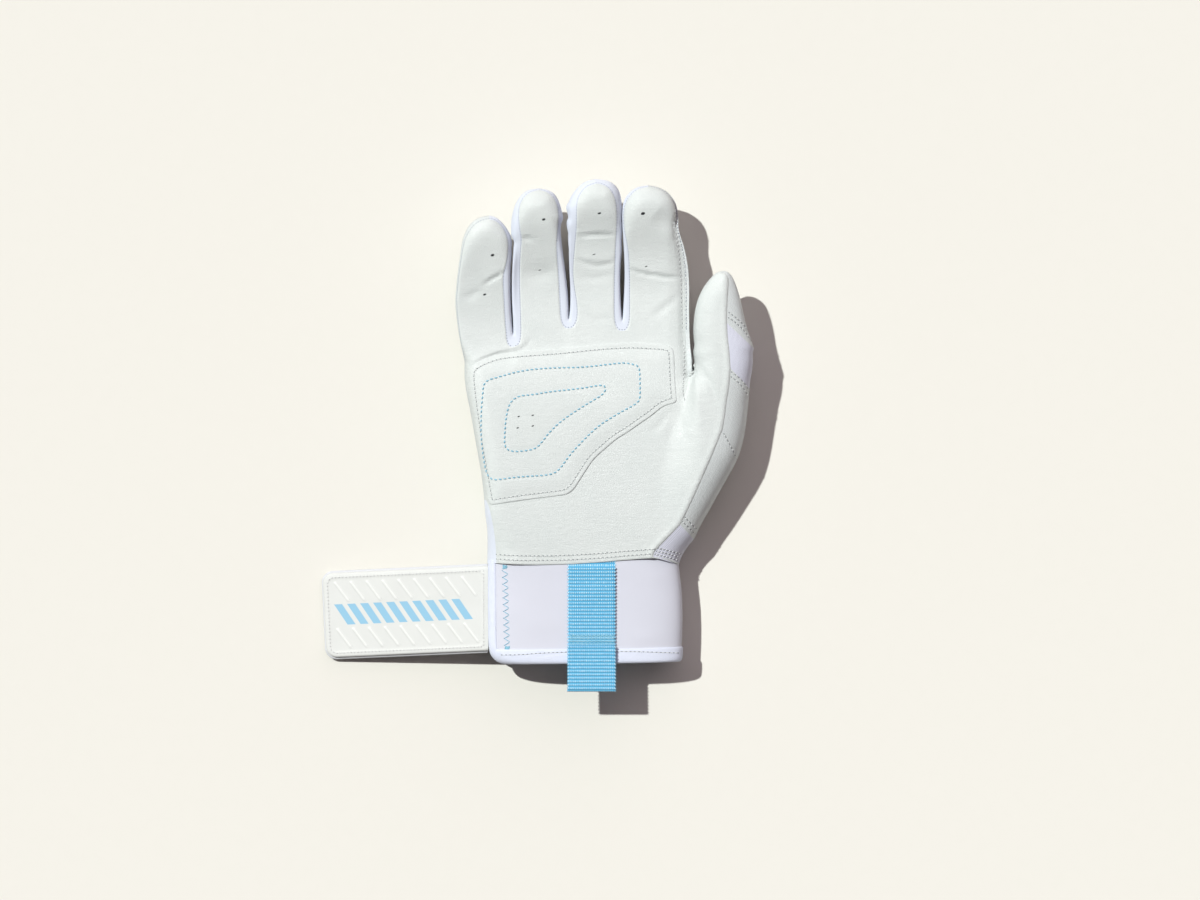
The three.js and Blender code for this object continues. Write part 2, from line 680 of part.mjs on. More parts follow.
function threadRing(shares, from, width) {
  const band = tall(smoothOutline(shares, -width / 2)).subtract(tall(smoothOutline(shares, width / 2)));
  return overPalm(from, from + width).intersect(band);
}

function overlayPieces() {
  const foamTop = CLEARANCE + FOAM;
  const overlayTop = foamTop + CLEARANCE + OVERLAY;
  const front = layer(PALM_DEPTH / 2, FAR).intersect(clearOfFingers(rootRegion()));
  const whole = overPalm(CLEARANCE, overlayTop).intersect(tall(smoothOutline(OVERLAY_OUTLINE_SHARES, 0)));
  const pocket = handBody(foamTop + CLEARANCE).intersect(
    tall(smoothOutline(OVERLAY_OUTLINE_SHARES, OVERLAY_RIM)),
  );
  const foamOutline = tall(smoothOutline(OVERLAY_OUTLINE_SHARES, OVERLAY_RIM + CLEARANCE));
  let overlay = whole.subtract(pocket).intersect(front);
  for (const [x, y] of PALM_VENT_SHARES) {
    overlay = overlay.subtract(ventHole(x * HAND_WIDTH, y * PALM_LENGTH));
  }
  const loop = (shares) => threadRing(shares, overlayTop + CLEARANCE, QUILT_THREAD).intersect(front);
  return [
    piece("palm_overlay", overlay, "leather"),
    piece("palm_foam", overPalm(CLEARANCE, foamTop).intersect(foamOutline).intersect(front), "foam"),
    piece("quilt_thread_outer", loop(OUTER_LOOP_SHARES), "thread"),
    piece("quilt_thread_inner", loop(INNER_LOOP_SHARES), "thread"),
  ];
}

// Cuff: a short oval tube from the wrist line to the hem.
function cuffLoft(grow) {
  const ends = [-CUFF_LENGTH - OVERRUN, OVERRUN];
  const stations = ends.map((y) => ({
    x: 0,
    y,
    z: CUFF_HEIGHT,
    halfWidth: WRIST_WIDTH / 2 + grow,
    halfDepth: CUFF_DEPTH / 2 + grow,
  }));
  return loft(stations, RING_POINT_COUNT, PALM_POWER);
}

const overCuff = (from, to) => cuffLoft(to).subtract(cuffLoft(from));
const CUFF_EDGE = -WRIST_WIDTH / 2; // the slit's side

// The cuff's length from the wrist line, starting and ending at given distances.
function cuffLengths(from, to) {
  return block(-FAR, FAR, -to, -from, -FAR, FAR);
}

// The open slit in the pinky side of the cuff.
function slitSpace() {
  return block(-FAR, CUFF_EDGE + SLIT_REACH, -FAR, FAR, SLIT_BOTTOM, SLIT_TOP);
}

function cuffPieces() {
  const wall = overCuff(-NEOPRENE, 0).intersect(cuffLengths(HEEL + GAP, CUFF_LENGTH)).subtract(slitSpace());
  const front = layer(CUFF_HEIGHT + GAP, FAR);
  const back = layer(-FAR, CUFF_HEIGHT - GAP);
  // The bindings fold over an edge, so each is a thick sleeve less the cuff inside it.
  const sleeve = overCuff(-NEOPRENE - CLEARANCE - BINDING, CLEARANCE + BINDING);
  const lining = overCuff(-NEOPRENE - CLEARANCE, CLEARANCE);
  const hem = sleeve
    .intersect(cuffLengths(CUFF_LENGTH - HEM_BINDING_WIDTH, CUFF_LENGTH + CLEARANCE + BINDING))
    .subtract(lining.intersect(cuffLengths(0, CUFF_LENGTH + CLEARANCE)))
    .subtract(slitSpace());
  const edge = sleeve
    .intersect(block(-FAR, CUFF_EDGE + SLIT_BINDING_WIDTH, -FAR, FAR, SLIT_TOP - CLEARANCE - BINDING, FAR))
    .intersect(cuffLengths(HEEL + CLEARANCE, CUFF_LENGTH - HEM_BINDING_WIDTH - CLEARANCE))
    .subtract(lining.intersect(layer(SLIT_TOP - CLEARANCE, FAR)));
  const padEnd = CUFF_LENGTH - HEM_BINDING_WIDTH - CLEARANCE;
  const loopPad = overCuff(CLEARANCE, CLEARANCE + LOOP_PAD)
    .intersect(block(-LOOP_PAD_LENGTH / 2, LOOP_PAD_LENGTH / 2, -padEnd, LOOP_PAD_WIDTH - padEnd, -FAR, FAR))
    .intersect(layer(0, CUFF_HEIGHT));
  return [
    piece("cuff_front", wall.intersect(front), "neoprene"),
    piece("cuff_back", wall.intersect(back), "neoprene"),
    piece("hem_binding", hem, "binding"),
    piece("slit_binding", edge, "binding"),
    piece("loop_pad", loopPad, "fastener"),
  ];
}

// The zigzag that holds the strap's end, as a band of thread on the cuff.
function zigzagPiece() {
  const middle = CUFF_EDGE + ZIGZAG_INSET;
  const reach = CUFF_LENGTH - HEM_BINDING_WIDTH - HEEL - CLEARANCE - ZIGZAG_THREAD;
  const turns = Math.floor((reach - ZIGZAG_THREAD) / (ZIGZAG_PITCH / 2));
  // A slanted stretch is this wide along X for the thread to be as thick as it is.
  const spread = (ZIGZAG_THREAD * Math.hypot(ZIGZAG_WIDTH, ZIGZAG_PITCH / 2)) / (ZIGZAG_PITCH / 2);
  const near = [];
  const far = [];
  for (let i = 0; i <= turns; i++) {
    const y = -HEEL - ZIGZAG_THREAD - (i * ZIGZAG_PITCH) / 2;
    const x = middle + ((i % 2 ? 1 : -1) * ZIGZAG_WIDTH) / 2;
    near.push([x - spread / 2, y]);
    far.push([x + spread / 2, y]);
  }
  const band = tall([...near, ...far.reverse()]);
  const shape = overCuff(CLEARANCE, CLEARANCE + ZIGZAG_THREAD).intersect(band);
  return piece("zigzag_thread", shape.intersect(layer(CUFF_HEIGHT, FAR)), "thread");
}

// Where the strap leaves the cuff, far enough out for its slanted edge to clear the slit's binding.
const STRAP_EDGE_SHIFT = (STRAP_WIDTH / 2) * Math.sin(THREE.MathUtils.degToRad(STRAP_SKEW_DEGREES));
const STRAP_START = CUFF_EDGE - BINDING - CLEARANCE - STRAP_EDGE_SHIFT;

// The strap's sewn end: a lip that comes out through the slit, and a flap inside the cuff.
function anchorPiece() {
  const depth = NEOPRENE + BINDING + 2 * CLEARANCE;
  const end = CUFF_LENGTH - HEM_BINDING_WIDTH - CLEARANCE;
  const flapSpace = block(CUFF_EDGE, CUFF_EDGE + ANCHOR_LENGTH, -end, -HEEL - CLEARANCE, STRAP_HEIGHT, FAR);
  const flap = overCuff(-depth - STRAP_BASE, -depth).intersect(flapSpace);
  const start = STRAP_START + CLEARANCE;
  const inner = CUFF_EDGE + depth + STRAP_BASE / 2;
  const half = STRAP_WIDTH / 2;
  const lipOutline = [
    [start + STRAP_EDGE_SHIFT, -STRAP_MIDDLE - half],
    [inner, -end],
    [inner, -HEEL - CLEARANCE],
    [start - STRAP_EDGE_SHIFT, -STRAP_MIDDLE + half],
  ];
  const lip = upright(lipOutline, STRAP_HEIGHT, STRAP_HEIGHT + STRAP_BASE);
  return piece("strap_anchor", flap.add(lip), "stretch");
}

const TAB_TOP = CUFF_HEIGHT + CUFF_DEPTH / 2 + CLEARANCE + WEBBING;

function pullTabPieces() {
  const left = TAB_OFFSET - TAB_WIDTH / 2;
  const right = TAB_OFFSET + TAB_WIDTH / 2;
  const strip = block(left, right, -TAB_SEWN_LENGTH + GAP, -HEEL - CLEARANCE, CUFF_HEIGHT, FAR);
  const sewn = overCuff(CLEARANCE, CLEARANCE + WEBBING).intersect(strip);
  return [piece("pull_tab_sewn", sewn, "webbing"), tabLoop(left, right)];
}

// Webbing folded on itself: two layers that meet in a round end past the hem.
function tabLoop(left, right) {
  const outer = WEBBING + TAB_LOOP_GAP / 2;
  const middle = TAB_TOP + CLEARANCE + outer;
  const start = -TAB_SEWN_LENGTH - GAP;
  const turn = start - TAB_LOOP_LENGTH + outer;
  const steps = 8;
  const outside = [];
  const inside = [];
  for (let i = 0; i <= steps; i++) {
    const angle = Math.PI / 2 + (Math.PI * i) / steps;
    outside.push([turn + outer * Math.cos(angle), middle + outer * Math.sin(angle)]);
    inside.push([turn + (TAB_LOOP_GAP / 2) * Math.cos(angle), middle + (TAB_LOOP_GAP / 2) * Math.sin(angle)]);
  }
  const outline = [[start, middle + outer], ...outside, [start, middle - outer]];
  outline.push([start, middle - TAB_LOOP_GAP / 2], ...inside.reverse(), [start, middle + TAB_LOOP_GAP / 2]);
  return piece("pull_tab_loop", crosswise(outline, left, right), "webbing");
}

// A plate with round corners at its free end, along +X.
function strapPlate(from, to, halfWidth, corner, low, high) {
  const shape = new THREE.Shape();
  shape.moveTo(from, -halfWidth);
  if (corner) {
    shape.lineTo(to - corner, -halfWidth);
    shape.absarc(to - corner, -halfWidth + corner, corner, -Math.PI / 2, 0, false);
    shape.lineTo(to, halfWidth - corner);
    shape.absarc(to - corner, halfWidth - corner, corner, 0, Math.PI / 2, false);
  } else {
    shape.lineTo(to, -halfWidth);
    shape.lineTo(to, halfWidth);
  }
  shape.lineTo(from, halfWidth);
  shape.closePath();
  const settings = { depth: high - low, bevelEnabled: false, curveSegments: 5 };
  return solid(new THREE.ExtrudeGeometry(shape, settings).translate(0, 0, low));
}

// One raised slanted rib of the patch.
function rib(x, y, low, high) {
  const lean = THREE.MathUtils.degToRad(RIB_LEAN_DEGREES);
  const along = [-Math.sin(lean) * (RIB_LENGTH / 2), Math.cos(lean) * (RIB_LENGTH / 2)];
  const across = [Math.cos(lean) * (RIB_WIDTH / 2), Math.sin(lean) * (RIB_WIDTH / 2)];
  const corner = (u, v) => [x + u * along[0] + v * across[0], y + u * along[1] + v * across[1]];
  return upright([corner(-1, -1), corner(-1, 1), corner(1, 1), corner(1, -1)], low, high);
}

function strapPatch(from, to, corner) {
  const low = STRAP_BASE + CLEARANCE;
  const high = low + STRAP_PATCH;
  const half = STRAP_WIDTH / 2 - STRAP_STEP;
  const end = corner ? to - STRAP_STEP : to;
  let patch = strapPlate(from, end, half, corner, low, high);
  const sunkEnd = corner ? end - RIDGE_WIDTH : end + OVERRUN;
  const floor = high - RIDGE_DEPTH;
  const sunk = strapPlate(from - OVERRUN, sunkEnd, half - RIDGE_WIDTH, corner / 2, floor, high + OVERRUN);
  patch = patch.subtract(sunk);
  const row = STRAP_WIDTH / 2 - RIB_ROW_INSET;
  const first = STRAP_LENGTH - RIB_ROW_INSET;
  for (let i = 0; i < RIB_COUNT; i++) {
    const x = first - i * RIB_PITCH;
    for (const y of [-row, row]) {
      const bump = rib(x, y, low + CLEARANCE, floor + RIB_HEIGHT);
      const kept = bump.intersect(strapPlate(from, to, half, 0, -FAR, FAR));
      if (!kept.isEmpty()) patch = patch.add(kept);
    }
  }
  return patch;
}

function strapPieces() {
  const half = STRAP_WIDTH / 2;
  const nearEnd = STRAP_FOLD - GAP;
  const farStart = STRAP_FOLD + GAP;
  const padEnd = STRAP_LENGTH - HOOK_PAD_MARGIN;
  const padStart = padEnd - HOOK_PAD_LENGTH;
  const padHalf = half - HOOK_PAD_MARGIN;
  const pad = strapPlate(padStart, padEnd, padHalf, STRAP_CORNER / 2, -CLEARANCE - HOOK_PAD, -CLEARANCE);
  const group = new THREE.Group();
  group.add(
    piece("strap_base_near", strapPlate(GAP, nearEnd, half, 0, 0, STRAP_BASE), "stretch"),
    piece("strap_patch_near", strapPatch(GAP, nearEnd, 0), "rubber"),
    piece("strap_base_far", strapPlate(farStart, STRAP_LENGTH, half, STRAP_CORNER, 0, STRAP_BASE), "stretch"),
    piece("strap_patch_far", strapPatch(farStart, STRAP_LENGTH, STRAP_CORNER), "rubber"),
    piece("hook_pad", pad, "fastener"),
  );
  // The strap leaves the cuff's edge and comes down to the resting face at its free end.
  const drop = Math.asin((STRAP_HEIGHT - HOOK_PAD - 2 * CLEARANCE) / STRAP_LENGTH);
  const outward = new THREE.Matrix4().makeRotationZ(Math.PI + THREE.MathUtils.degToRad(STRAP_SKEW_DEGREES));
  const slope = new THREE.Matrix4().makeRotationY(drop);
  const place = new THREE.Matrix4().makeTranslation(STRAP_START, -STRAP_MIDDLE, STRAP_HEIGHT);
  group.applyMatrix4(place.multiply(outward).multiply(slope));
  return group;
}

const glove = new THREE.Group();
for (const finger of FINGERS) glove.add(...fingerPieces(finger));
glove.add(...thumbPieces());
glove.add(...handPieces());
glove.add(...overlayPieces());
glove.add(...cuffPieces());
glove.add(zigzagPiece());
glove.add(anchorPiece());
glove.add(...pullTabPieces());
glove.add(strapPieces());

export default glove;
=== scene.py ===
# %% [markdown]
# # A batting glove, palm up
#
# The glove lies on its back with the strap open. This notebook dresses the imported CAD frame: every soft piece
# is rebuilt as leather, cloth, neoprene, webbing or rubber, and a piece made without a bend rides on its body.
#
# Most of the glove is one curved surface that is cut into pieces, as on the real object. So the notebook first
# describes that surface (where it is at any point), then cuts each piece out of it.

# %% Load the frame
import math
import bpy
import numpy as np
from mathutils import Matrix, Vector, geometry
from mathutils.bvhtree import BVHTree
from mathutils.kdtree import KDTree


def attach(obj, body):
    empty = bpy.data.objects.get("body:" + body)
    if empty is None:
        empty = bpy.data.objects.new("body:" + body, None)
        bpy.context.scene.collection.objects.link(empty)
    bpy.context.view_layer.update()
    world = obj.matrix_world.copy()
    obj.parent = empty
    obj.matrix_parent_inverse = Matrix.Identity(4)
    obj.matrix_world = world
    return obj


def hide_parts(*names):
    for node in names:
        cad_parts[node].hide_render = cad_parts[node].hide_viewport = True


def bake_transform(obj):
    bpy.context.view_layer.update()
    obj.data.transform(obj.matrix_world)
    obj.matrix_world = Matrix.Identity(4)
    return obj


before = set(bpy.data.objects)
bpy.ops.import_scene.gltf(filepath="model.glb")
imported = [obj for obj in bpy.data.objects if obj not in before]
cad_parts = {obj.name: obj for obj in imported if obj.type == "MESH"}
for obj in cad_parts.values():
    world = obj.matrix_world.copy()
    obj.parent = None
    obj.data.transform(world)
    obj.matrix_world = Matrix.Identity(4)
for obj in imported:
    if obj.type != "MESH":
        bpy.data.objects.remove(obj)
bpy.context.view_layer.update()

# %% [markdown]
# ## Places
#
# Outlines are written as places in the picture, in picture points, because that is where they can be checked.
# One function turns them into metres on the glove: a picture point is 0.48 mm, X runs to the thumb's side,
# Y to the fingertips, and the origin is the middle of the wrist line.

# %% Picture points to metres
MM = 0.001
POINT_SIZE = 0.48 * MM
WRIST_POINT = np.array([584.0, 562.0])
FRAME_WIDTH = 1200
FRAME_CENTRE = (600, 450)


def place(points):
    """Metres on the glove for a list of places in the picture."""
    return (np.array(points, float) - WRIST_POINT) * POINT_SIZE * (1, -1)


print("fingertip of the middle finger, in metres:", place([(595.6, 180)])[0])

# %% [markdown]
# ## Camera, floor and light
#
# The picture looks straight down. A far camera with a long lens keeps the fingers upright and shows almost no
# side walls. One sun from the upper left throws the firm shadow. A broad fill from the upper right and a faint sky
# lighten it to a warm grey, except below the cuff, where the glove hides the fill.

# %% Camera, floor, sun and sky
CAMERA_DISTANCE = 3.0
CAMERA_REACH = 20.0
LOOK_HEIGHT = 20 * MM
SENSOR = 36.0
SKY_COLOR = (0.082, 0.070, 0.075, 1)
FLOOR_REACH = 3.0


def shown(name, data):
    """An object with this camera, light or mesh in it, put into the scene."""
    made = bpy.data.objects.new(name, data)
    bpy.context.scene.collection.objects.link(made)
    return made


def sunlight(name, energy, color, spread, elevation, bearing):
    """Parallel light that travels along a bearing, from an elevation, and spreads over an angle, in degrees."""
    data = bpy.data.lights.new(name, "SUN")
    data.energy = energy
    data.color = color
    data.angle = math.radians(spread)
    light = shown(name, data)
    level = math.cos(math.radians(elevation))
    beam = Vector((math.cos(bearing) * level, math.sin(bearing) * level, -math.sin(math.radians(elevation))))
    light.rotation_mode = "QUATERNION"
    light.rotation_quaternion = beam.to_track_quat("-Z", "Y")


centre = place([FRAME_CENTRE])[0]
camera_data = bpy.data.cameras.new("camera")
camera_data.sensor_width = SENSOR
camera_data.lens = SENSOR * CAMERA_DISTANCE / (FRAME_WIDTH * POINT_SIZE)
camera_data.clip_end = CAMERA_REACH
camera = shown("camera", camera_data)
camera.location = (centre[0], centre[1], LOOK_HEIGHT + CAMERA_DISTANCE)
bpy.context.scene.camera = camera

sunlight("sun", energy=4.23, color=(0.965, 1.0, 0.974), spread=1.3, elevation=56.5,
         bearing=math.atan2(-0.62, 0.78))
sunlight("fill", energy=0.98, color=(1.0, 0.865, 0.925), spread=80, elevation=46,
         bearing=math.atan2(-0.9, -0.42))

world = bpy.data.worlds.new("sky")
world.use_nodes = True
world.node_tree.nodes["Background"].inputs["Color"].default_value = SKY_COLOR
bpy.context.scene.world = world
bpy.context.scene.view_settings.view_transform = "Standard"

floor_mesh = bpy.data.meshes.new("floor")
floor_corners = [(x * FLOOR_REACH, y * FLOOR_REACH, 0) for x, y in ((-1, -1), (1, -1), (1, 1), (-1, 1))]
floor_mesh.from_pydata(floor_corners, [], [(0, 1, 2, 3)])
floor = shown("floor", floor_mesh)
print("lens", round(camera_data.lens, 1), "mm")

# %% [markdown]
# ## Finishes as expressions
#
# A finish is a small tree of shader nodes. Written out node by node it is hard to read, so one class wraps a
# socket and lets it be added, multiplied or compared like a number. Each such step becomes a Math node.

# %% Shader expressions
FLAT_MAP = "flat"
REFLECTANCE = 0.75
MIX_SHARE, MIX_FIRST, MIX_SECOND, MIX_COLOR_OUT = 0, 6, 7, 2


class Signal:
    """One output of a shader node, with the operators of a number."""

    def __init__(self, finish, socket):
        self.finish = finish
        self.socket = socket

    def math(self, operation, *values):
        return self.finish.node("Math", {"operation": operation}, dict(enumerate(values)))

    def __abs__(self):
        return self.math("ABSOLUTE", self)

    def step(self, low, high):
        """0 below low, 1 above high and smooth between them."""
        settings = {"interpolation_type": "SMOOTHSTEP"}
        return self.finish.node("MapRange", settings, {"Value": self, "From Min": low, "From Max": high})


OPERATORS = {"add": "ADD", "sub": "SUBTRACT", "mul": "MULTIPLY", "truediv": "DIVIDE", "pow": "POWER"}
for word, operation in OPERATORS.items():
    def forward(self, other, operation=operation):
        return self.math(operation, self, other)

    def reflected(self, other, operation=operation):
        return self.math(operation, other, self)

    setattr(Signal, f"__{word}__", forward)
    setattr(Signal, f"__r{word}__", reflected)


def painted(color):
    """A colour as the picture shows white things, made as much darker as real cloth is."""
    return (*(c * REFLECTANCE for c in color), 1) if isinstance(color, tuple) else color


def shaded(color, share):
    """A colour that is a share as bright."""
    return tuple(c * share for c in color)


class Finish:
    """A material that is built from expressions."""

    def __init__(self, name):
        self.material = bpy.data.materials.new(name)
        self.material.use_nodes = True
        self.tree = self.material.node_tree
        self.surface = self.tree.nodes["Principled BSDF"]

    def node(self, kind, settings=None, inputs=None, output=0):
        made = self.tree.nodes.new("ShaderNode" + kind)
        for name, value in (settings or {}).items():
            setattr(made, name, value)
        for name, value in (inputs or {}).items():
            self.feed(made.inputs[name], value)
        return Signal(self, made.outputs[output])

    def feed(self, socket, value):
        if isinstance(value, Signal):
            self.tree.links.new(value.socket, socket)
        else:
            socket.default_value = value

    def place(self):
        """The flat place of a point on its piece, in millimetres."""
        return self.node("UVMap", {"uv_map": FLAT_MAP})

    def stretched(self, x, y):
        return self.node("VectorMath", {"operation": "MULTIPLY"}, {0: self.place(), 1: (x, y, 1)})

    def axes(self):
        """The two numbers of the flat place."""
        spot = self.place()
        return [self.node("SeparateXYZ", {}, {0: spot}, axis) for axis in (0, 1)]

    def noise(self, scale, detail=2.0, vector=None):
        """Soft noise: how many spots there are in a millimetre, and how finely they break up."""
        inputs = {"Vector": vector or self.place(), "Scale": scale, "Detail": detail}
        return self.node("TexNoise", {}, inputs)

    def cells(self, scale):
        """The distance to the edges of small cells, with so many cells in a millimetre."""
        inputs = {"Vector": self.place(), "Scale": scale}
        return self.node("TexVoronoi", {"feature": "DISTANCE_TO_EDGE"}, inputs)

    def wave(self, coordinate, period):
        """A ridge from 0 to 1 that repeats along a coordinate."""
        turn = coordinate * (2 * math.pi / period)
        return turn.math("SINE", turn) * 0.5 + 0.5

    def mix(self, share, first, second):
        inputs = {MIX_SHARE: share, MIX_FIRST: painted(first), MIX_SECOND: painted(second)}
        return self.node("Mix", {"data_type": "RGBA"}, inputs, MIX_COLOR_OUT)

    def bump(self, height, depth):
        """The surface normal that a height from 0 to 1, times a depth in metres, gives."""
        return self.node("Bump", {}, {"Strength": 1.0, "Distance": depth, "Height": height})

    def done(self, color, roughness, normal=None, **constants):
        self.feed(self.surface.inputs["Base Color"], color)
        self.feed(self.surface.inputs["Roughness"], roughness)
        if normal:
            self.feed(self.surface.inputs["Normal"], normal)
        for name, value in constants.items():
            self.surface.inputs[name.replace("_", " ")].default_value = value
        print("finish", self.material.name, "with", len(self.tree.nodes), "nodes")
        return self.material

# %% [markdown]
# ## The finishes
#
# The leather is white and fine-grained: small cells with shallow valleys, a few longer wrinkles, and a tone
# that drifts a little. Cloth pieces differ in their weave, so each gets its own pattern at its real scale.
#
# In these expressions, noise and cells are given in patterns per millimetre and waves by their length in
# millimetres. A plain factor is the weight of one pattern among the others.

# %% Leather
LEATHER_RELIEF = 0.16 * MM


def leather(name, color, roughness, grain=1.0):
    finish = Finish(name)
    cells = finish.cells(1.15).step(0.0, 0.16)
    fine = finish.noise(2.6, 3.0)
    long = finish.noise(0.34, 3.0, finish.stretched(0.45, 1.7))
    height = cells * (0.45 * grain) + fine * (0.35 * grain) + long * 0.9
    drift = finish.noise(0.05).step(0.3, 0.7)
    dark = tuple(c * s for c, s in zip(color, (0.955, 0.965, 0.965)))
    shade = finish.mix(drift * 0.6 + (1 - cells) * 0.35, color, dark)
    bump = finish.bump(height, LEATHER_RELIEF)
    return finish.done(shade, drift * 0.06 + roughness, bump, Specular_IOR_Level=0.34)


FRONT_LEATHER = leather("front_leather", (0.80, 0.837, 0.823), 0.46)
BACK_LEATHER = leather("back_leather", (0.79, 0.83, 0.83), 0.52, 0.8)


# %% Stretch cloth, knit and neoprene
def jersey(name, color, pitch, depth):
    """A fine machine knit: columns of small loops."""
    finish = Finish(name)
    across, along = finish.axes()
    columns = finish.wave(across, pitch)
    loops = columns * 0.6 + finish.wave(along + columns * (pitch * 0.4), pitch * 0.8) * 0.4
    fuzz = finish.noise(3.5, 3.0)
    drift = finish.noise(0.09).step(0.3, 0.7)
    shade = finish.mix((1 - loops) * 0.35 + drift * 0.05, color, shaded(color, 0.86))
    return finish.done(shade, fuzz * 0.1 + 0.8, finish.bump(loops * 0.7 + fuzz * 0.5, depth),
                       Specular_IOR_Level=0.2, Sheen_Weight=0.25, Sheen_Roughness=0.5)


STRETCH = jersey("stretch_fabric", (0.84, 0.89, 1.0), 0.55, 0.10 * MM)
KNIT = jersey("knit", (0.80, 0.815, 0.935), 0.9, 0.14 * MM)
NEOPRENE = jersey("neoprene", (0.765, 0.775, 0.865), 0.42, 0.07 * MM)


# %% Binding, webbing, thread and holes
def tape(name, color, rib, depth, shading):
    """A woven tape with ribs across it and a fine weave between them."""
    finish = Finish(name)
    across, along = finish.axes()
    ribs = finish.wave(along, rib)
    weave = finish.wave(across + finish.wave(along, rib * 2) * (rib * 0.5), rib * 1.1)
    fuzz = finish.noise(4.0, 3.0)
    shade = finish.mix((1 - ribs) * shading + (1 - weave) * (shading * 0.6), color, shaded(color, 0.62))
    bump = finish.bump(ribs * 0.7 + weave * 0.5 + fuzz * 0.3, depth)
    return finish.done(shade, fuzz * 0.12 + 0.7, bump, Specular_IOR_Level=0.3)


BINDING = tape("binding", (0.86, 0.905, 1.05), rib=0.6, depth=0.05 * MM, shading=0.05)


def webbing(name, color, light, weft, pitch, depth):
    """Ribbed webbing: across it lie rows of short upright stitches. Their floats get a painted highlight, a much
    lighter blue, and the ground between the rows is darker.
    """
    finish = Finish(name)
    across, along = finish.axes()
    wander = finish.noise(0.9, 1.0) * 0.35
    rows = finish.wave(along + wander, weft)
    columns = finish.wave(across + wander, pitch)
    floats = rows.step(0.15, 0.7) * columns.step(0.1, 0.7)
    patches = finish.noise(0.8).step(0.35, 0.65)
    fuzz = finish.noise(5.0, 3.0)
    ground = finish.mix((1 - rows) * 0.35, color, shaded(color, 0.6))
    # painted highlight: the floats are mixed towards the lighter colour
    shade = finish.mix(floats * (patches * 0.4 + 0.55), ground, light)
    bump = finish.bump(rows * 0.5 + floats * 0.6 + fuzz * 0.2, depth)
    return finish.done(shade, fuzz * 0.12 + 0.62, bump, Specular_IOR_Level=0.35)


WEFT = 1.65 * MM
# painted highlight: the second colour is the lighter blue painted on the stitch floats
WEBBING = webbing("webbing", (0.11, 0.52, 0.86), (0.64, 0.92, 1.05), weft=1.65, pitch=1.05, depth=0.28 * MM)


def thread(name, color):
    """Twisted thread: slanting plies."""
    finish = Finish(name)
    across, along = finish.axes()
    plies = finish.wave(across + along * 1.4, 0.35)
    shade = finish.mix(1 - plies, color, shaded(color, 0.8))
    return finish.done(shade, plies * -0.1 + 0.6, finish.bump(plies, 0.05 * MM))


BLUE_THREAD = thread("blue_thread", (0.33, 0.70, 0.90))
WHITE_THREAD = thread("white_thread", (0.95, 0.97, 0.96))


def hole_shade_finish(name, color):
    """Painted shade: the dark colour of a flat disc that stands for the shaded inside of a needle hole or an air
    hole.
    """
    finish = Finish(name)
    shade = finish.mix(finish.noise(3.0), color, shaded(color, 0.7))
    return finish.done(shade, 0.9, Specular_IOR_Level=0.1)


# painted shade: these colours stand for the dark insides of needle holes, edge holes and air holes
WHITE_HOLE_SHADE = hole_shade_finish("white_needle_holes", (0.35, 0.38, 0.39))
EDGE_HOLE_SHADE = hole_shade_finish("edge_needle_holes", (0.33, 0.36, 0.44))
BLUE_HOLE_SHADE = hole_shade_finish("blue_needle_holes", (0.17, 0.42, 0.57))
AIR_HOLE_SHADE = hole_shade_finish("air_hole_shade", (0.05, 0.05, 0.055))

# %% [markdown]
# The strap's rubber is printed with one row of plain slanting bars; its raised ribs have a painted highlight.
# Both are drawn in the strap's own millimetres: how far out from the cuff, and how far to the side.

# %% Rubber, hooks and loops
PRINT_BLUE = (0.30, 0.58, 0.78)
PRINT_HALF, PRINT_MIDDLE, PRINT_LEAN, BAR_PITCH = 5.0, -0.2, 0.62, 6.4
BAR_SHARE, FIRST_BAR, LAST_BAR = 0.31, 1.0, 11.0
RIB_TOP, RIB_EVERY, RIB_SLANT, RIB_HIGHLIGHT_SHARE = 68.2, 7.8, 0.7, 0.075
RIB_ROW, RIB_ROW_HALF, RIBS_MIDDLE, RIBS_REACH = 11.2, 4.8, 37.0, 32.5


def rubber(name, color, roughness):
    """Moulded rubber with a printed row of plain slanting bars, and a painted highlight on its raised ribs."""
    finish = Finish(name)
    speckle = finish.noise(6.0)
    drift = finish.noise(0.07).step(0.3, 0.7)
    out, side = finish.axes()
    slanted = (out + side * PRINT_LEAN) / BAR_PITCH
    band = (PRINT_HALF - abs(side - PRINT_MIDDLE)).step(-0.1, 0.1)
    band = band * (slanted - FIRST_BAR).step(-0.01, 0.01) * (LAST_BAR - slanted).step(-0.01, 0.01)
    bars = (BAR_SHARE - abs(out.math("FRACT", slanted) - 0.5)).step(-0.02, 0.02) * band
    # painted highlight: the raised ribs are coloured a little lighter than the rubber
    turns = (out + side * RIB_SLANT - RIB_TOP) / RIB_EVERY
    ribs = (RIB_HIGHLIGHT_SHARE - abs(out.math("FRACT", turns + 0.5) - 0.5)).step(-0.02, 0.02)
    middle = out + (side - side.math("SIGN", side) * RIB_ROW) * RIB_SLANT
    ribs = ribs * (RIB_ROW_HALF - abs(abs(side) - RIB_ROW)).step(-0.1, 0.1)
    ribs = ribs * (RIBS_REACH - abs(middle - RIBS_MIDDLE)).step(-0.1, 0.1)
    ground = finish.mix(drift * 0.6, color, shaded(color, 0.95))
    shade = finish.mix(bars, finish.mix(ribs, ground, shaded(color, 1.13)), PRINT_BLUE)
    bump = finish.bump(speckle, 0.03 * MM)
    return finish.done(shade, speckle * 0.08 + roughness, bump, Specular_IOR_Level=0.35)


STRAP_RUBBER = rubber("strap_rubber", (0.79, 0.80, 0.775), 0.5)
STRAP_BASE = jersey("strap_base", (0.78, 0.79, 0.82), 0.6, 0.12 * MM)


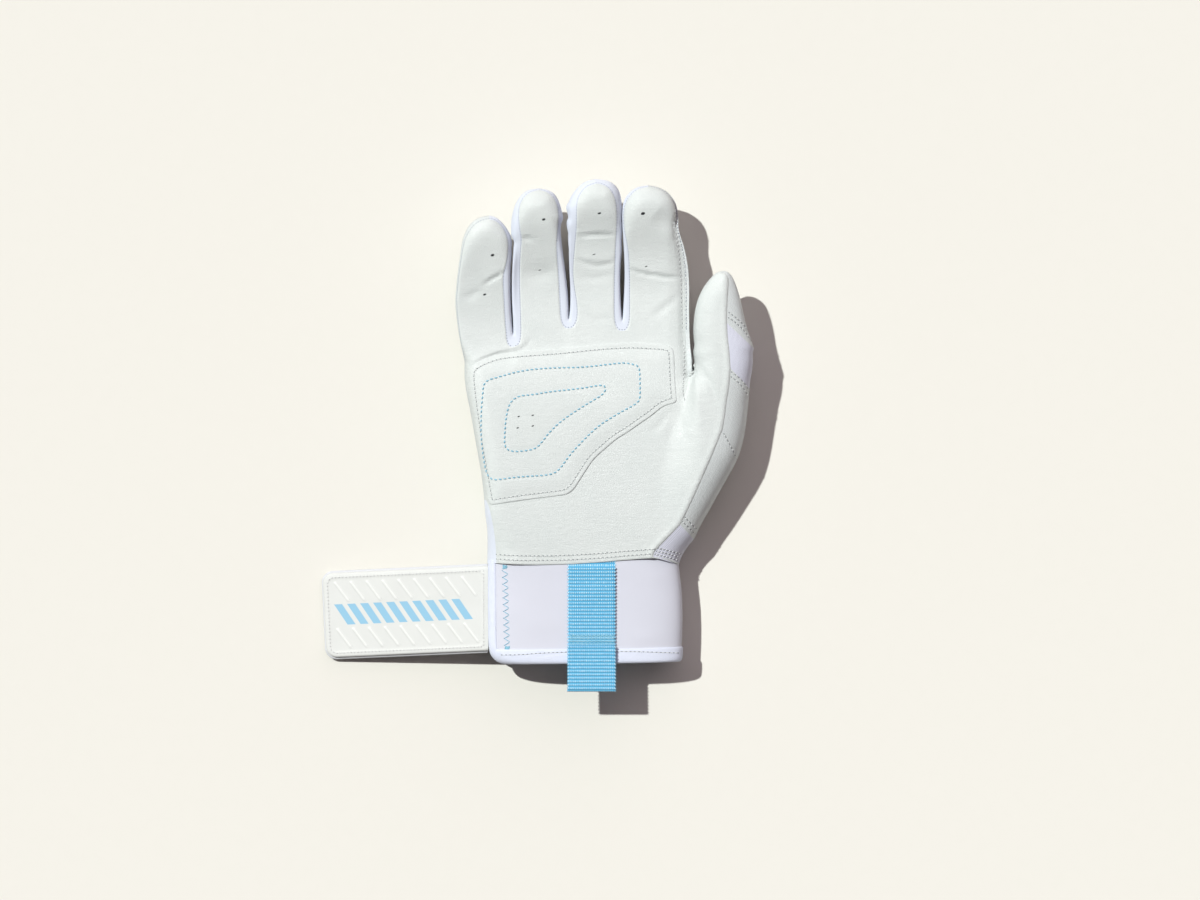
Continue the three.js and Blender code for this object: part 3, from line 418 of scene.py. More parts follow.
def pile(name, color, size, depth):
    """Hooks or loops: a field of small tufts."""
    finish = Finish(name)
    tufts = finish.cells(1 / size).step(0.0, 0.5)
    fuzz = finish.noise(5.0, 3.0)
    shade = finish.mix(1 - tufts, color, shaded(color, 0.6))
    return finish.done(shade, fuzz * 0.1 + 0.85, finish.bump(tufts + fuzz * 0.4, depth), Specular_IOR_Level=0.2)


HOOKS = pile("hooks", (0.70, 0.71, 0.74), 0.9, 0.5 * MM)
LOOPS = pile("loops", (0.72, 0.74, 0.79), 0.6, 0.3 * MM)

# %% Floor finish
PAPER_GRAIN = 900.0
floor_finish = Finish("floor")
paper = floor_finish.node("TexNoise", {}, {"Scale": PAPER_GRAIN, "Detail": 2.0})
floor_shade = floor_finish.mix(paper, (0.884, 0.862, 0.797), (0.896, 0.874, 0.809))
floor_mesh.materials.append(floor_finish.done(floor_shade, 0.9, Specular_IOR_Level=0.0))

# %% [markdown]
# ## Helpers for lines and tables
#
# The shape is written down as a few smooth tables along the hand, and as outlines. These helpers read them.

# %% Lines and tables
TINY = 1e-12
FAR = 1e9


def unit(vectors):
    length = np.linalg.norm(vectors, axis=-1, keepdims=True)
    return vectors / np.maximum(length, TINY)


def ramp(x, low, high):
    """0 below low, 1 above high and smooth between them."""
    t = np.clip((np.asarray(x, float) - low) / (high - low), 0, 1)
    return t * t * (3 - 2 * t)


def smooth_table(x, table):
    """Reads a table of (place, value) pairs along one smooth curve."""
    at, values = np.array(table, float).T
    slopes = np.gradient(values, at)
    x = np.clip(np.asarray(x, float), at[0], at[-1])
    i = np.clip(np.searchsorted(at, x) - 1, 0, len(at) - 2)
    width = at[i + 1] - at[i]
    t = (x - at[i]) / width
    return ((1 + 2 * t) * (1 - t) ** 2 * values[i] + t * (1 - t) ** 2 * width * slopes[i]
            + t * t * (3 - 2 * t) * values[i + 1] + t * t * (t - 1) * width * slopes[i + 1])


def lengths(line):
    """The distance along a line at each of its points."""
    return np.r_[0, np.cumsum(np.linalg.norm(np.diff(line, axis=0), axis=1))]


def resample(line, count):
    """The same line with evenly spaced points."""
    along = lengths(line)
    at = np.linspace(0, along[-1], count)
    return np.stack([np.interp(at, along, column) for column in np.asarray(line, float).T], 1)


def soften(line, rounds=2, closed=False):
    """Rounds the corners of a listed line: each corner is cut twice."""
    line = np.asarray(line, float)
    for _ in range(rounds):
        after = np.roll(line, -1, 0) if closed else line[1:]
        before = line if closed else line[:-1]
        pair = [before * 0.75 + after * 0.25, before * 0.25 + after * 0.75]
        cut = np.stack(pair, 1).reshape(-1, line.shape[1])
        line = cut if closed else np.concatenate([line[:1], cut, line[-1:]])
    return line


def nearest(points, line):
    """For each point: its distance to a line, the side it is on, and how far along the nearest place is."""
    start, step = line[:-1], np.diff(line, axis=0)
    size = np.maximum((step ** 2).sum(1), 1e-18)
    best = np.full(len(points), FAR)
    side = np.zeros(len(points))
    share = np.zeros(len(points))
    along = lengths(line)
    for first, leg, square, low, high in zip(start, step, size, along[:-1], along[1:]):
        offset = points - first
        t = np.clip(offset @ leg / square, 0, 1)
        gap = np.linalg.norm(offset - t[:, None] * leg, axis=1)
        closer = gap < best
        best[closer] = gap[closer]
        side[closer] = np.sign(leg[0] * offset[closer, 1] - leg[1] * offset[closer, 0])
        share[closer] = (low + t[closer] * (high - low)) / along[-1]
    return best, side, share


def inside(points, loop):
    """Which points lie inside a closed outline."""
    x, y = points.T
    result = np.zeros(len(points), bool)
    for (x0, y0), (x1, y1) in zip(loop, np.roll(loop, -1, 0)):
        if y0 != y1:
            crosses = (y0 > y) != (y1 > y)
            result ^= crosses & (x < (x1 - x0) * (y - y0) / (y1 - y0) + x0)
    return result


# %% [markdown]
# ## The outline of the hand
#
# Two lines run round the whole hand, from the wrist up the little finger's side and down the thumb's side. The
# outer line is the widest edge of the glove. The inner line is the edge of the front leather, which the
# picture shows a little inside it. Between them lie the cloth walls. Both are cut at the same landmarks, so that
# each wall knows which point of one belongs to which point of the other. Each stretch starts where the one
# before it ends, so only its further points are listed: first the outer line's, then the leather's.

# %% The two lines, landmark by landmark
RIM_START = ((487, 563), (496.5, 563))
RIM = {
    "palm_heel": (
        [(487.4, 540), (487, 527), (485, 516), (484, 500)],
        [(496.5, 553), (495, 536), (493, 523), (490, 509), (486.4, 500)]),
    "palm_side": (
        [(482.5, 483.5), (480, 466), (475.6, 443), (471, 415), (466, 392), (464, 374), (464.5, 363)],
        [(484.7, 483.5), (482.2, 466), (477.8, 443), (473.2, 415), (468.2, 392), (466.2, 374), (466.7, 362)]),
    "pinky_outer": (
        [(464, 359), (460, 341), (457, 322), (455, 302), (456, 290), (458, 271), (461, 251), (463, 238),
         (470, 224.5), (479, 218), (490, 216)],
        [(466, 358), (462, 341), (459.4, 322), (457.6, 302), (458.4, 290), (460.6, 271), (463.6, 251),
         (466, 240), (472.4, 229), (480, 222.6), (490, 220.4)]),
    "pinky_inner": (
        [(497, 218), (504, 224.5), (509, 232), (512, 241), (511.6, 252), (511.2, 266), (510.7, 282),
         (510.9, 300), (511.8, 318), (513.2, 334)],
        [(496, 221.6), (502, 227), (506, 234), (508.6, 243), (508.2, 254), (506, 267), (503.2, 276),
         (503.2, 284), (504, 300), (505, 320), (506.2, 333), (506.8, 341), (508.4, 345.4), (510.8, 347.2),
         (513.3, 347.2)]),
    "ring_outer": (
        [(512.8, 318), (511.6, 300), (511.5, 282), (512.3, 262), (513.6, 250), (515.4, 243), (511.6, 237),
         (511, 222), (514, 208), (519, 198), (527, 190.6), (539, 189)],
        [(515.8, 347.2), (518.8, 345.4), (520.8, 340.5), (521.5, 332), (521.2, 318), (520.4, 296), (520, 272),
         (521, 252), (522.6, 240), (520.4, 230), (519, 214), (521, 203), (528, 194.4), (539, 191)]),
    "ring_inner": (
        [(549, 190.4), (556, 195.4), (560.4, 205), (561.6, 213), (563, 220), (560.4, 226), (561, 236),
         (562.6, 251), (565, 268), (567.4, 289), (568.6, 305), (568.8, 319)],
        [(548, 193.4), (554.4, 199.4), (558, 208), (559, 219), (557, 236), (556.4, 251), (558, 268), (559, 289),
         (559.8, 306), (560.2, 316), (561.6, 323.4), (564.8, 328.4), (568.5, 328.6)]),
    "middle_outer": (
        [(570.2, 305), (570.4, 289), (569.4, 272), (568.8, 252), (569.2, 238), (567.2, 226), (569, 217),
         (567, 209), (570, 198), (577, 188.6), (585, 182), (595.6, 179.6)],
        [(572.4, 328.4), (576, 324), (577.8, 316), (577.4, 304), (574.6, 288), (573, 274), (574, 258),
         (575.6, 242), (577, 229), (577, 205), (579.6, 196.4), (587, 187.6), (597, 184.7)]),
    "middle_inner": (
        [(608, 181), (616, 186), (620.4, 194), (621.6, 206), (621.8, 226), (621.4, 250), (620, 275),
         (620.4, 300), (622.2, 320)],
        [(606, 187), (612.6, 194), (616, 204), (616.8, 218), (616, 235), (615, 252), (614.2, 275), (613.8, 302),
         (614, 316), (615, 325), (618, 330.8), (622, 331)]),
    "index_outer": (
        [(623.8, 300), (624.8, 275), (623.8, 252), (622.6, 236), (621.8, 224), (621.6, 212), (623.4, 201.6),
         (629, 193), (637, 187.4), (648, 186)],
        [(626, 330.8), (629, 325), (630, 315), (629.8, 302), (630, 276), (628.6, 250), (625.4, 236),
         (623.6, 224), (623.4, 213), (625.4, 204), (630.6, 196), (638, 190), (648, 188)]),
    "index_inner": (
        [(658, 187.6), (667, 192), (674, 200), (677.4, 210), (678.2, 219), (677.8, 228), (680.4, 238),
         (683.4, 245.5), (686.7, 260), (688.5, 273), (689.2, 290), (688.9, 306), (689.2, 332)],
        [(657, 189.8), (665.4, 194), (671.8, 201.6), (675.4, 211), (676.6, 219), (676.6, 228), (678.6, 238),
         (680.6, 245.5), (683.2, 260), (684.7, 273), (685.3, 290), (685.1, 306), (685.4, 332)]),
    "index_side": (
        [(690.2, 350), (692.4, 372)],
        [(686, 352), (687.6, 378)]),
    "thumb_inner": (
        [(695, 364), (692.6, 353), (694.6, 345), (693.4, 338), (693, 326), (695, 307.5), (700, 293),
         (706.6, 282.6), (713, 275.6), (717.6, 272.4), (722, 271.6)],
        [(697.4, 365), (695, 353), (697, 345), (696, 338), (695.6, 326), (697.4, 308.5), (702.2, 295),
         (708.4, 285), (714.4, 277.6), (718, 274.6), (722.2, 273.4)]),
    "thumb_tip": (
        [(726.4, 271.9), (730.4, 275), (734, 281.4), (737.5, 291), (741, 304), (743.5, 317), (747, 330),
         (751, 341), (753.6, 349)],
        [(725.6, 274.2), (727.8, 279), (728.2, 285), (727, 299), (726.4, 313), (726.4, 324)]),
    "thumb_knit": (
        [(752.2, 353), (752.7, 362), (751.6, 372), (749.8, 382), (749.4, 389)],
        [(727, 337), (729, 353), (730, 369)]),
    "thumb_upper": (
        [(748.4, 400), (747, 415), (745, 431), (742.4, 444), (738.6, 456)],
        [(729, 385.5), (726, 402), (724.4, 417), (722, 430)]),
    "thumb_lower": (
        [(733, 468), (725, 482), (717, 496.5), (709, 511), (701, 524.6), (694, 539.4)],
        [(718, 440), (710, 460), (701, 480), (693, 498), (687, 511), (680, 524.6)]),
    "wrist_gusset": (
        [(686, 549), (681, 558), (679, 565)],
        [(668.7, 536.7), (658, 547.6), (653.6, 552.5), (653.4, 556.6)]),
}
ROW_STEP = 1.1 * MM
FEWEST_ROWS = 4


def rim_rows():
    """Every landmark stretch as two matched rows of points, the outer line's and the leather's."""
    rows, last = {}, RIM_START
    for name, stretch in RIM.items():
        outer, inner = (soften(place([begin, *line])) for begin, line in zip(last, stretch))
        last = [line[-1] for line in stretch]
        count = max(FEWEST_ROWS, int(max(lengths(outer)[-1], lengths(inner)[-1]) / ROW_STEP) + 1)
        rows[name] = (resample(outer, count), resample(inner, count))
    return rows


ROWS = rim_rows()
OUTER_LINE = np.concatenate([outer for outer, _ in ROWS.values()])
print("the rim has", len(ROWS), "stretches and", len(OUTER_LINE), "points")

# %% [markdown]
# ## The surface of the hand
#
# Seen from above, the glove is an outline that is puffed up. So its height is worked out from four numbers at
# each place: how high the front stands, how low the back hangs, how high the widest edge is, and how far in the
# rounding of the edge reaches. The rounding is a superellipse, which is fuller than a circle.
#
# The tables hold pairs in millimetres. In the palm's and the mound's, the first number is the distance along the
# hand. In a finger's it is the share of the finger's length, from the knuckle to the tip.

# %% Heights along the hand, in millimetres
KNUCKLES = (103.7, 107.5, 111.8, 110.9)
FINGER_LENGTHS = (62.4, 71.3, 71.6, 69.1)
FORK_X = (-34.0, -7.4, 17.8)
FORK_BLEND = 2.5
KNUCKLE_BLEND = (-14, 4)
FINGER_TOPS = (
    ((-0.2, 27), (0, 27), (0.2, 27.2), (0.35, 28.4), (0.5, 30.2), (0.68, 33.2), (0.85, 35.8), (0.95, 36.8),
     (1.1, 37)),
    ((-0.2, 27), (0, 26.8), (0.36, 27), (0.42, 27.7), (0.6, 31.8), (0.78, 36.4), (0.86, 37.6), (1, 38.2),
     (1.1, 38.3)),
    ((-0.2, 27), (0, 26.8), (0.38, 27), (0.44, 27.8), (0.6, 30.8), (0.64, 31.9), (0.8, 36.6), (0.87, 37.6),
     (1, 38.2), (1.1, 38.3)),
    ((-0.2, 27), (0, 26.8), (0.36, 27), (0.42, 27.8), (0.55, 30.0), (0.72, 34.2), (0.8, 36.0), (0.88, 37.1),
     (1, 37.7), (1.1, 37.8)),
)
FINGER_EDGE = ((-0.2, 19), (0, 21.5), (0.25, 22), (0.4, 22.4), (0.5, 23.4), (0.75, 26.2), (0.92, 28), (1, 28.2),
               (1.1, 28.2))
FINGER_LOW = ((-0.2, 2.4), (0, 3.2), (0.25, 3.6), (0.5, 6.3), (0.75, 11.4), (0.92, 16.2), (1, 16.8), (1.1, 17))
PALM_TOP = ((-8, 27.5), (0, 27.9), (16.6, 29.1), (32, 29.8), (47.7, 30.2), (64.3, 30.4), (80.9, 30.0),
            (93.3, 28.9), (104, 27.7))
MOUND_TOP = ((-8, 25.2), (0, 26.2), (14, 29.4), (26.5, 32), (44, 34.2), (58.3, 35.2), (72.4, 35.8), (88.3, 36.3),
             (114, 37.6), (140, 38.4))
MOUND_EDGE = ((-8, 13.0), (0, 13.4), (26.5, 17.6), (44, 19.3), (58.3, 20.2), (72.4, 21.6), (88.3, 24),
              (114, 28.5), (140, 32))
MOUND_LOW = ((-8, 1), (5.3, 1.0), (26.5, 3.2), (58.3, 3.4), (72.4, 3.4), (88.3, 7.5), (114, 13), (140, 18.5))
PALM_LOW = 0.6
FINGER_RADII = (3.6, 2.8, 2.8, 3.2)
TIP_RADII = (12.0, 12.2, 12.6, 13.4)
TIP_BLEND = (0.5, 0.95)
PALM_RADIUS, MOUND_RADIUS, THUMB_RADIUS = 12.0, 17.0, 12.8
THUMB_BLEND = (70, 95)
WRIST_SOFTER, WRIST_REACH = 6.0, 24
MOUND_X, MOUND_SHIFT, MOUND_SHIFT_Y = 46, 6.2, (30, 90)
MOUND_WIDTH, MOUND_NARROWER, MOUND_WIDTH_Y = 11, 9.5, (40, 92)
ROUNDING, FINGER_ROUNDING, TIP_ROUNDING = 3.2, 5.0, 2.4


def by_finger(x, values):
    """A value of each finger, changing smoothly from one finger to the next."""
    result = np.zeros(len(x)) + values[0]
    for fork, before, after in zip(FORK_X, values[:-1], values[1:]):
        result += (after - before) * ramp(x, fork - FORK_BLEND, fork + FORK_BLEND)
    return result


def heights(points):
    """Top, widest edge, bottom and edge radius at each place, in metres, and the power of the rounding."""
    x, y = np.asarray(points).T / MM
    knuckle = by_finger(x, KNUCKLES)
    share = (y - knuckle) / by_finger(x, FINGER_LENGTHS)
    finger = ramp(y, knuckle + KNUCKLE_BLEND[0], knuckle + KNUCKLE_BLEND[1])
    palm_top = smooth_table(y, PALM_TOP)
    finger_top = by_finger(x, [smooth_table(share, table) for table in FINGER_TOPS])
    top = palm_top + (finger_top - palm_top) * finger
    edge = palm_top / 2 + (smooth_table(share, FINGER_EDGE) - palm_top / 2) * finger
    low = PALM_LOW + (smooth_table(share, FINGER_LOW) - PALM_LOW) * finger
    tip = ramp(share, *TIP_BLEND)
    finger_radius = by_finger(x, FINGER_RADII) * (1 - tip) + by_finger(x, TIP_RADII) * tip
    radius = PALM_RADIUS + (finger_radius - PALM_RADIUS) * finger
    power = ROUNDING + (FINGER_ROUNDING + (TIP_ROUNDING - FINGER_ROUNDING) * tip - ROUNDING) * finger
    wrist = 1 - ramp(y, 0, WRIST_REACH)
    radius = radius + WRIST_SOFTER * wrist
    power = power + (TIP_ROUNDING - power) * wrist
    side = MOUND_X + MOUND_SHIFT * ramp(y, *MOUND_SHIFT_Y)
    blend = MOUND_WIDTH - MOUND_NARROWER * ramp(y, *MOUND_WIDTH_Y)
    mound = ramp(x, side - blend, side + blend)
    mound_radius = MOUND_RADIUS + (THUMB_RADIUS - MOUND_RADIUS) * ramp(y, *THUMB_BLEND)
    targets = [smooth_table(y, table) for table in (MOUND_TOP, MOUND_EDGE, MOUND_LOW)] + [mound_radius]
    mixed = [(value + (target - value) * mound) * MM for value, target in zip((top, edge, low, radius), targets)]
    return [*mixed, power + (TIP_ROUNDING - power) * mound]


def rounding(share, power=TIP_ROUNDING):
    """How much of its height the surface has at a share of the way in from the edge."""
    return (1 - (1 - np.clip(share, 0, 1)) ** power) ** (1 / power)


# %% Creases, and the front and back of the surface
CREASES = [
    # where it runs, in picture points; depth, half width, step on its upper side and reach of the step, in mm
    ([(505, 273), (497, 277), (490, 281), (484, 285)][::-1], 1.4, 0.7, 0.9, 4.5),
    ([(464, 299), (472, 296), (480, 290)], 0.5, 2.0, 0.0, 1.0),
    ([(470, 368), (484, 359.4), (499, 354), (512, 352.6), (521, 350), (527, 345), (531, 338)], 0.9, 1.1, 0.9, 3.6),
    ([(521, 240), (527, 239), (534, 241)], 0.9, 0.9, 0.3, 3.0),
    ([(522, 272), (534, 275), (546, 274), (557, 270)], 0.7, 4.0, 0.0, 1.0),
    ([(577, 237), (590, 235.6), (602, 235), (615, 235.6)], 1.4, 0.65, 0.7, 4.5),
    ([(574, 258), (584, 263), (598, 265.6), (608, 264), (617, 260)], 0.8, 1.2, 0.9, 6.0),
    ([(576, 277), (594, 279), (613, 275)], 0.35, 1.6, 0.0, 1.0),
    ([(582, 308), (587, 316), (594, 320), (613, 318)], 0.3, 0.9, 0.0, 1.0),
    ([(627, 269), (638, 272.6), (650, 275.4), (664, 277), (681, 278)], 1.5, 0.7, 0.9, 5.5),
    ([(679, 294), (670, 303), (660, 311), (651, 316)][::-1], 0.55, 1.8, 0.4, 5.0),
    ([(656, 213), (666, 220), (676, 228)], 1.2, 5.5, 0.0, 1.0),
    ([(696, 364), (703, 373), (709, 381), (713, 391), (715, 401)], 0.8, 1.3, 0.7, 5.0),
    ([(677, 404), (681, 420), (685, 442)], 0.45, 1.6, 0.2, 3.0),
    ([(676, 406), (673, 424), (668, 444)], 0.35, 1.8, 0.0, 3.0),
    ([(690, 372), (688, 388), (680, 404)], 0.5, 1.6, 0.0, 3.0),
    ([(674, 408), (660, 424), (648, 434)], 0.35, 1.8, 0.0, 3.0),
    ([(499, 520), (505, 545), (520, 556)], 0.35, 2.0, 0.0, 3.0),
]
CREASES = [(place(line), *(MM * number for number in numbers)) for line, *numbers in CREASES]
CREASE_FADE = 0.7
SEAM_X, SEAM_Y = (36, 42, 51.4, 52.6), (78, 92, 138, 184)
SEAM_WIDTH = 3.6 * MM
SEAM_DROP = 2.4 * MM
SEAM_RADIUS = 9.0 * MM
SEAM_ROUNDING = 2.2
SEAM_SLOPE = 0.02
RELIEF_EDGE = 0.5


def relief(points):
    """What creases and folds add to the front."""
    total = np.zeros(len(points))
    for line, depth, width, ledge, reach in CREASES:
        gap, side, share = nearest(points, line)
        fade = np.sin(np.pi * np.clip(share, 0.02, 0.98)) ** CREASE_FADE
        total -= depth * fade * np.exp(-(gap / width) ** 2)
        total += ledge * fade * np.exp(-gap / reach) / (1 + np.exp(-gap * side / (width * 0.5)))
    return total


def flat_seam(points):
    """1 on the index finger's outer seam, where the two leathers lie flat on each other, and 0 elsewhere."""
    x, y = np.asarray(points).T / MM
    across = ramp(x, *SEAM_X[:2]) * (1 - ramp(x, *SEAM_X[2:]))
    return across * ramp(y, *SEAM_Y[:2]) * (1 - ramp(y, *SEAM_Y[2:]))


def front(points):
    """The height of the glove's front at each place."""
    points = np.asarray(points, float)
    top, edge, _, radius, power = heights(points)
    seam = flat_seam(points)
    edge = edge + seam * (top - SEAM_DROP - edge)
    radius = radius + seam * (SEAM_RADIUS - radius)
    power = power + seam * (SEAM_ROUNDING - power)
    gap = nearest(points, OUTER_LINE)[0]
    slope = SEAM_SLOPE * np.minimum(gap, SEAM_WIDTH) * seam
    gap = np.maximum(gap - SEAM_WIDTH * seam, 0)
    puff = rounding(gap / radius, power)
    return edge + slope + (top - edge) * puff + relief(points) * rounding(gap / (radius * RELIEF_EDGE))


def under(points):
    """The height of the glove's back at each place."""
    points = np.asarray(points, float)
    top, edge, low, radius, _ = heights(points)
    radius = np.maximum(radius, PALM_RADIUS * MM)
    edge = edge + flat_seam(points) * (top - SEAM_DROP - edge)
    gap = nearest(points, OUTER_LINE)[0]
    return edge - (edge - low) * rounding(gap / radius)


print("front at the middle of the palm:", front(place([(560, 430)]))[0] / MM, "mm")

# %% [markdown]
# ## Cutting pieces out of the surface
#
# A piece that covers an area is a net of small triangles inside its outline, all at the height of the surface.
# A wall that runs along an edge is a grid of rows. Either one is a single layer, so it then gets its thickness:
# the same layer again, moved inwards along its normals, and a rim that joins the two.

# %% Nets and grids
NET = 1.25 * MM
EDGE_ROWS = (0.35 * MM, 0.8 * MM)
ROW_CLEARANCE, NET_CLEARANCE = 0.9, 0.55
MERGE_GAP = 1e-5


def patch(outline, spacing=NET, insets=EDGE_ROWS):
    """Fills a closed outline with an even net of triangles: its points and faces, seen from above."""
    outline = np.asarray(outline, float)
    before, after = np.roll(outline, 1, 0), np.roll(outline, -1, 0)
    along = unit(after - before)
    x, y = outline.T
    turn = 1 if (x * np.roll(y, -1) - np.roll(x, -1) * y).sum() > 0 else -1
    inward = np.stack([-along[:, 1], along[:, 0]], 1) * turn
    loop = np.concatenate([outline, outline[:1]])
    extra = []
    for inset in insets:
        row = outline + inward * inset
        keep = inside(row, outline) & (nearest(row, loop)[0] > inset * ROW_CLEARANCE)
        extra.append(row[keep])
    low, high = outline.min(0), outline.max(0)
    rows = []
    for number, level in enumerate(np.arange(low[1], high[1], spacing * math.sqrt(0.75))):
        start = low[0] + (spacing / 2 if number % 2 else 0)
        across = np.arange(start, high[0], spacing)
        rows.append(np.stack([across, np.full(len(across), level)], 1))
    lattice = np.concatenate(rows)
    lattice = lattice[inside(lattice, outline)]
    depth = (insets[-1] if insets else 0) + spacing * NET_CLEARANCE
    lattice = lattice[nearest(lattice, loop)[0] > depth]
    points = np.concatenate([outline, *extra, lattice])
    boundary = [list(range(len(outline)))]
    inside_only = 1
    scaled = [Vector(p) for p in points / MM]
    found, _, faces, *_ = geometry.delaunay_2d_cdt(scaled, [], boundary, inside_only, MERGE_GAP)
    found = np.array([tuple(p) for p in found]) * MM
    faces = [tuple(f) for f in faces if len(f) == 3]
    corners = found[np.array(faces)]
    a, b = corners[:, 1] - corners[:, 0], corners[:, 2] - corners[:, 0]
    up = a[:, 0] * b[:, 1] - a[:, 1] * b[:, 0] > 0
    return found, [f if keep else f[::-1] for f, keep in zip(faces, up)]


def grid_faces(rows, columns, closed=False):
    """The four-sided faces of a grid, whose rows may run round and meet."""
    faces = []
    for r in range(0, (rows - 1) * columns, columns):
        for c in range(columns if closed else columns - 1):
            d = (c + 1) % columns
            faces.append((r + c, r + d, r + columns + d, r + columns + c))
    return faces


class Layer:
    """A single layer of cloth or leather: points, faces, and each point's flat place in millimetres."""

    def __init__(self, points, faces, flat):
        self.points = np.asarray(points, float)
        self.faces = list(faces)
        self.flat = np.asarray(flat, float)
        self.kept_normals = None

    def flipped(self):
        """The layer, turned over."""
        return Layer(self.points, [f[::-1] for f in self.faces], self.flat)

    def facing(self, directions):
        """The layer, turned over if its faces look away from the directions."""
        return self if (self.normals() * directions).sum() > 0 else self.flipped()

    def joined(self, other, reach=0.02 * MM):
        """Two layers as one: points of the other that lie on one of these become it."""
        tree = KDTree(len(self.points))
        for number, point in enumerate(self.points):
            tree.insert(point, number)
        tree.balance()
        index, extra, flat = [], [], []
        for point, place_flat in zip(other.points, other.flat):
            _, number, gap = tree.find(point)
            if gap is not None and gap < reach:
                index.append(number)
            else:
                index.append(len(self.points) + len(extra))
                extra.append(point)
                flat.append(place_flat)
        faces = [tuple(index[v] for v in f) for f in other.faces]
        faces = [f for f in faces if len(set(f)) == len(f)]
        points = np.concatenate([self.points, np.array(extra).reshape(-1, 3)])
        flat = np.concatenate([self.flat, np.array(flat).reshape(-1, 2)])
        return Layer(points, self.faces + faces, flat)

    def middles(self):
        """The middle of every face."""
        return np.array([self.points[list(f)].mean(0) for f in self.faces])

    def part(self, picked):
        """The picked faces as a layer of their own, which keeps the whole layer's normals at the cut."""
        faces = [f for f, pick in zip(self.faces, picked) if pick]
        used = sorted({v for f in faces for v in f})
        number = {v: n for n, v in enumerate(used)}
        made = Layer(self.points[used], [tuple(number[v] for v in f) for f in faces], self.flat[used])
        made.kept_normals = self.normals()[used]
        return made

    def normals(self):
        if self.kept_normals is not None:
            return self.kept_normals
        total = np.zeros_like(self.points)
        for corner in (3, 4):
            chosen = np.array([f for f in self.faces if len(f) == corner], int)
            if not len(chosen):
                continue
            p = self.points[chosen]
            face = np.cross(p[:, 2] - p[:, 0], p[:, -1] - p[:, 1])
            for c in range(corner):
                np.add.at(total, chosen[:, c], face)
        return unit(total)

    def thick(self, thickness):
        """The layer as a shell that goes inwards. Its rim has its own points, so that its corners stay crisp."""
        count = len(self.points)
        inner = self.points - self.normals() * thickness
        seen = {}
        for f in self.faces:
            for a, b in zip(f, f[1:] + f[:1]):
                seen[(a, b)] = seen.get((a, b), 0) + 1
        rim = [(a, b) for a, b in seen if (b, a) not in seen]
        edge = sorted({a for pair in rim for a in pair})
        top = {a: 2 * count + number for number, a in enumerate(edge)}
        low = {a: 2 * count + len(edge) + number for number, a in enumerate(edge)}
        sides = [(top[b], top[a], low[a], low[b]) for a, b in rim]
        back = [tuple(v + count for v in reversed(f)) for f in self.faces]
        points = np.concatenate([self.points, inner, self.points[edge], inner[edge]])
        flat = np.concatenate([self.flat, self.flat, self.flat[edge], self.flat[edge]])
        return Layer(points, self.faces + back + sides, flat)


def piece(name, layer, finish, slot, body=None, nodes=(), blend=None):
    """Makes a layer into an object, gives it its finish and, unless a bend is given, joins it to its body."""
    mesh = bpy.data.meshes.new(name)
    mesh.from_pydata(layer.points.tolist(), [], layer.faces)
    mesh.polygons.foreach_set("use_smooth", [True] * len(mesh.polygons))
    corners = np.zeros(len(mesh.loops), int)
    mesh.loops.foreach_get("vertex_index", corners)
    flat = mesh.uv_layers.new(name=FLAT_MAP)
    flat.data.foreach_set("uv", layer.flat[corners].astype(np.float32).ravel())
    mesh.materials.append(finish)
    made = shown(name, mesh)
    if blend:
        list(blend)
        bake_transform(made)
    else:
        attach(made, body)
    if nodes:
        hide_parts(*nodes)
    print("piece", name, len(layer.points), "points")
    return made


# %% Layers that follow the surface
EDGE_LIFT = 0.25 * MM
EDGE_ROLL = 0.6 * MM
SKIN = 0.8 * MM
BACK_NET = 1.6 * NET
SAME_PLACE = 1e-6
FRONT_COLUMNS, FRONT_SPREAD = 6, 1.5
UNDER_COLUMNS, UNDER_SPREAD = 8, 1.6
WRINKLE_SHARPNESS = 0.8
THUMB_TIP_X, THUMB_TIP_Y, TIP_TUCK_CUT = 52 * MM, (118 * MM, 137 * MM), 0.78


def edge_rise(gap):
    """How far the leather's edge rises over the wall, at a distance in from it."""
    return EDGE_LIFT * rounding(gap / EDGE_ROLL)


def back_layer(outline):
    """Plain leather on the back, inside an outline."""
    points, faces = patch(clean(outline), BACK_NET, ())
    return Layer(np.c_[points, under(points)], faces, points / MM).flipped()


def clean(outline):
    """An outline without doubled points."""
    outline = np.asarray(outline)
    return outline[np.linalg.norm(outline - np.roll(outline, 1, 0), axis=1) > SAME_PLACE]


def wall_rows(*names):
    """The matched rows of one or more landmark stretches, joined without doubled rows."""
    outer, inner = (np.concatenate([ROWS[name][side] for name in names]) for side in (0, 1))
    moved = [np.linalg.norm(np.diff(line, axis=0), axis=1) for line in (inner, outer)]
    keep = np.r_[True, moved[0] + moved[1] > SAME_PLACE]
    return outer[keep], inner[keep]


WRINKLES = {
    # folds of the stretch cloth: from and to in picture points down the page, how many, and how deep in mm
    "middle_outer": (203, 249, 3, 1.0),
    "ring_outer": (232, 254, 1, 0.9),
    "ring_inner": (206, 230, 1, 0.5),
    "middle_inner": (198, 262, 3, 0.5),
    "pinky_inner": (232, 264, 2, 0.5),
}


def wrinkles(name, outer):
    """How far the cloth's folds stand out at each row of a wall."""
    start, end, count, depth = WRINKLES.get(name, (0, 1, 0, 0))
    down_the_page = WRIST_POINT[1] - outer[:, 1] / POINT_SIZE
    share = np.clip((down_the_page - start) / (end - start), 0, 1)
    return (depth * MM * np.abs(np.sin(np.pi * count * share)) ** WRINKLE_SHARPNESS)[:, None]


def tuck_at(outer, tuck):
    """How far each row of a wall goes round to the back: less at the thumb's narrow tip."""
    tip = ramp(outer[:, 1], *THUMB_TIP_Y) * (outer[:, 0] > THUMB_TIP_X)
    return (tuck * (1 - TIP_TUCK_CUT * tip))[:, None]


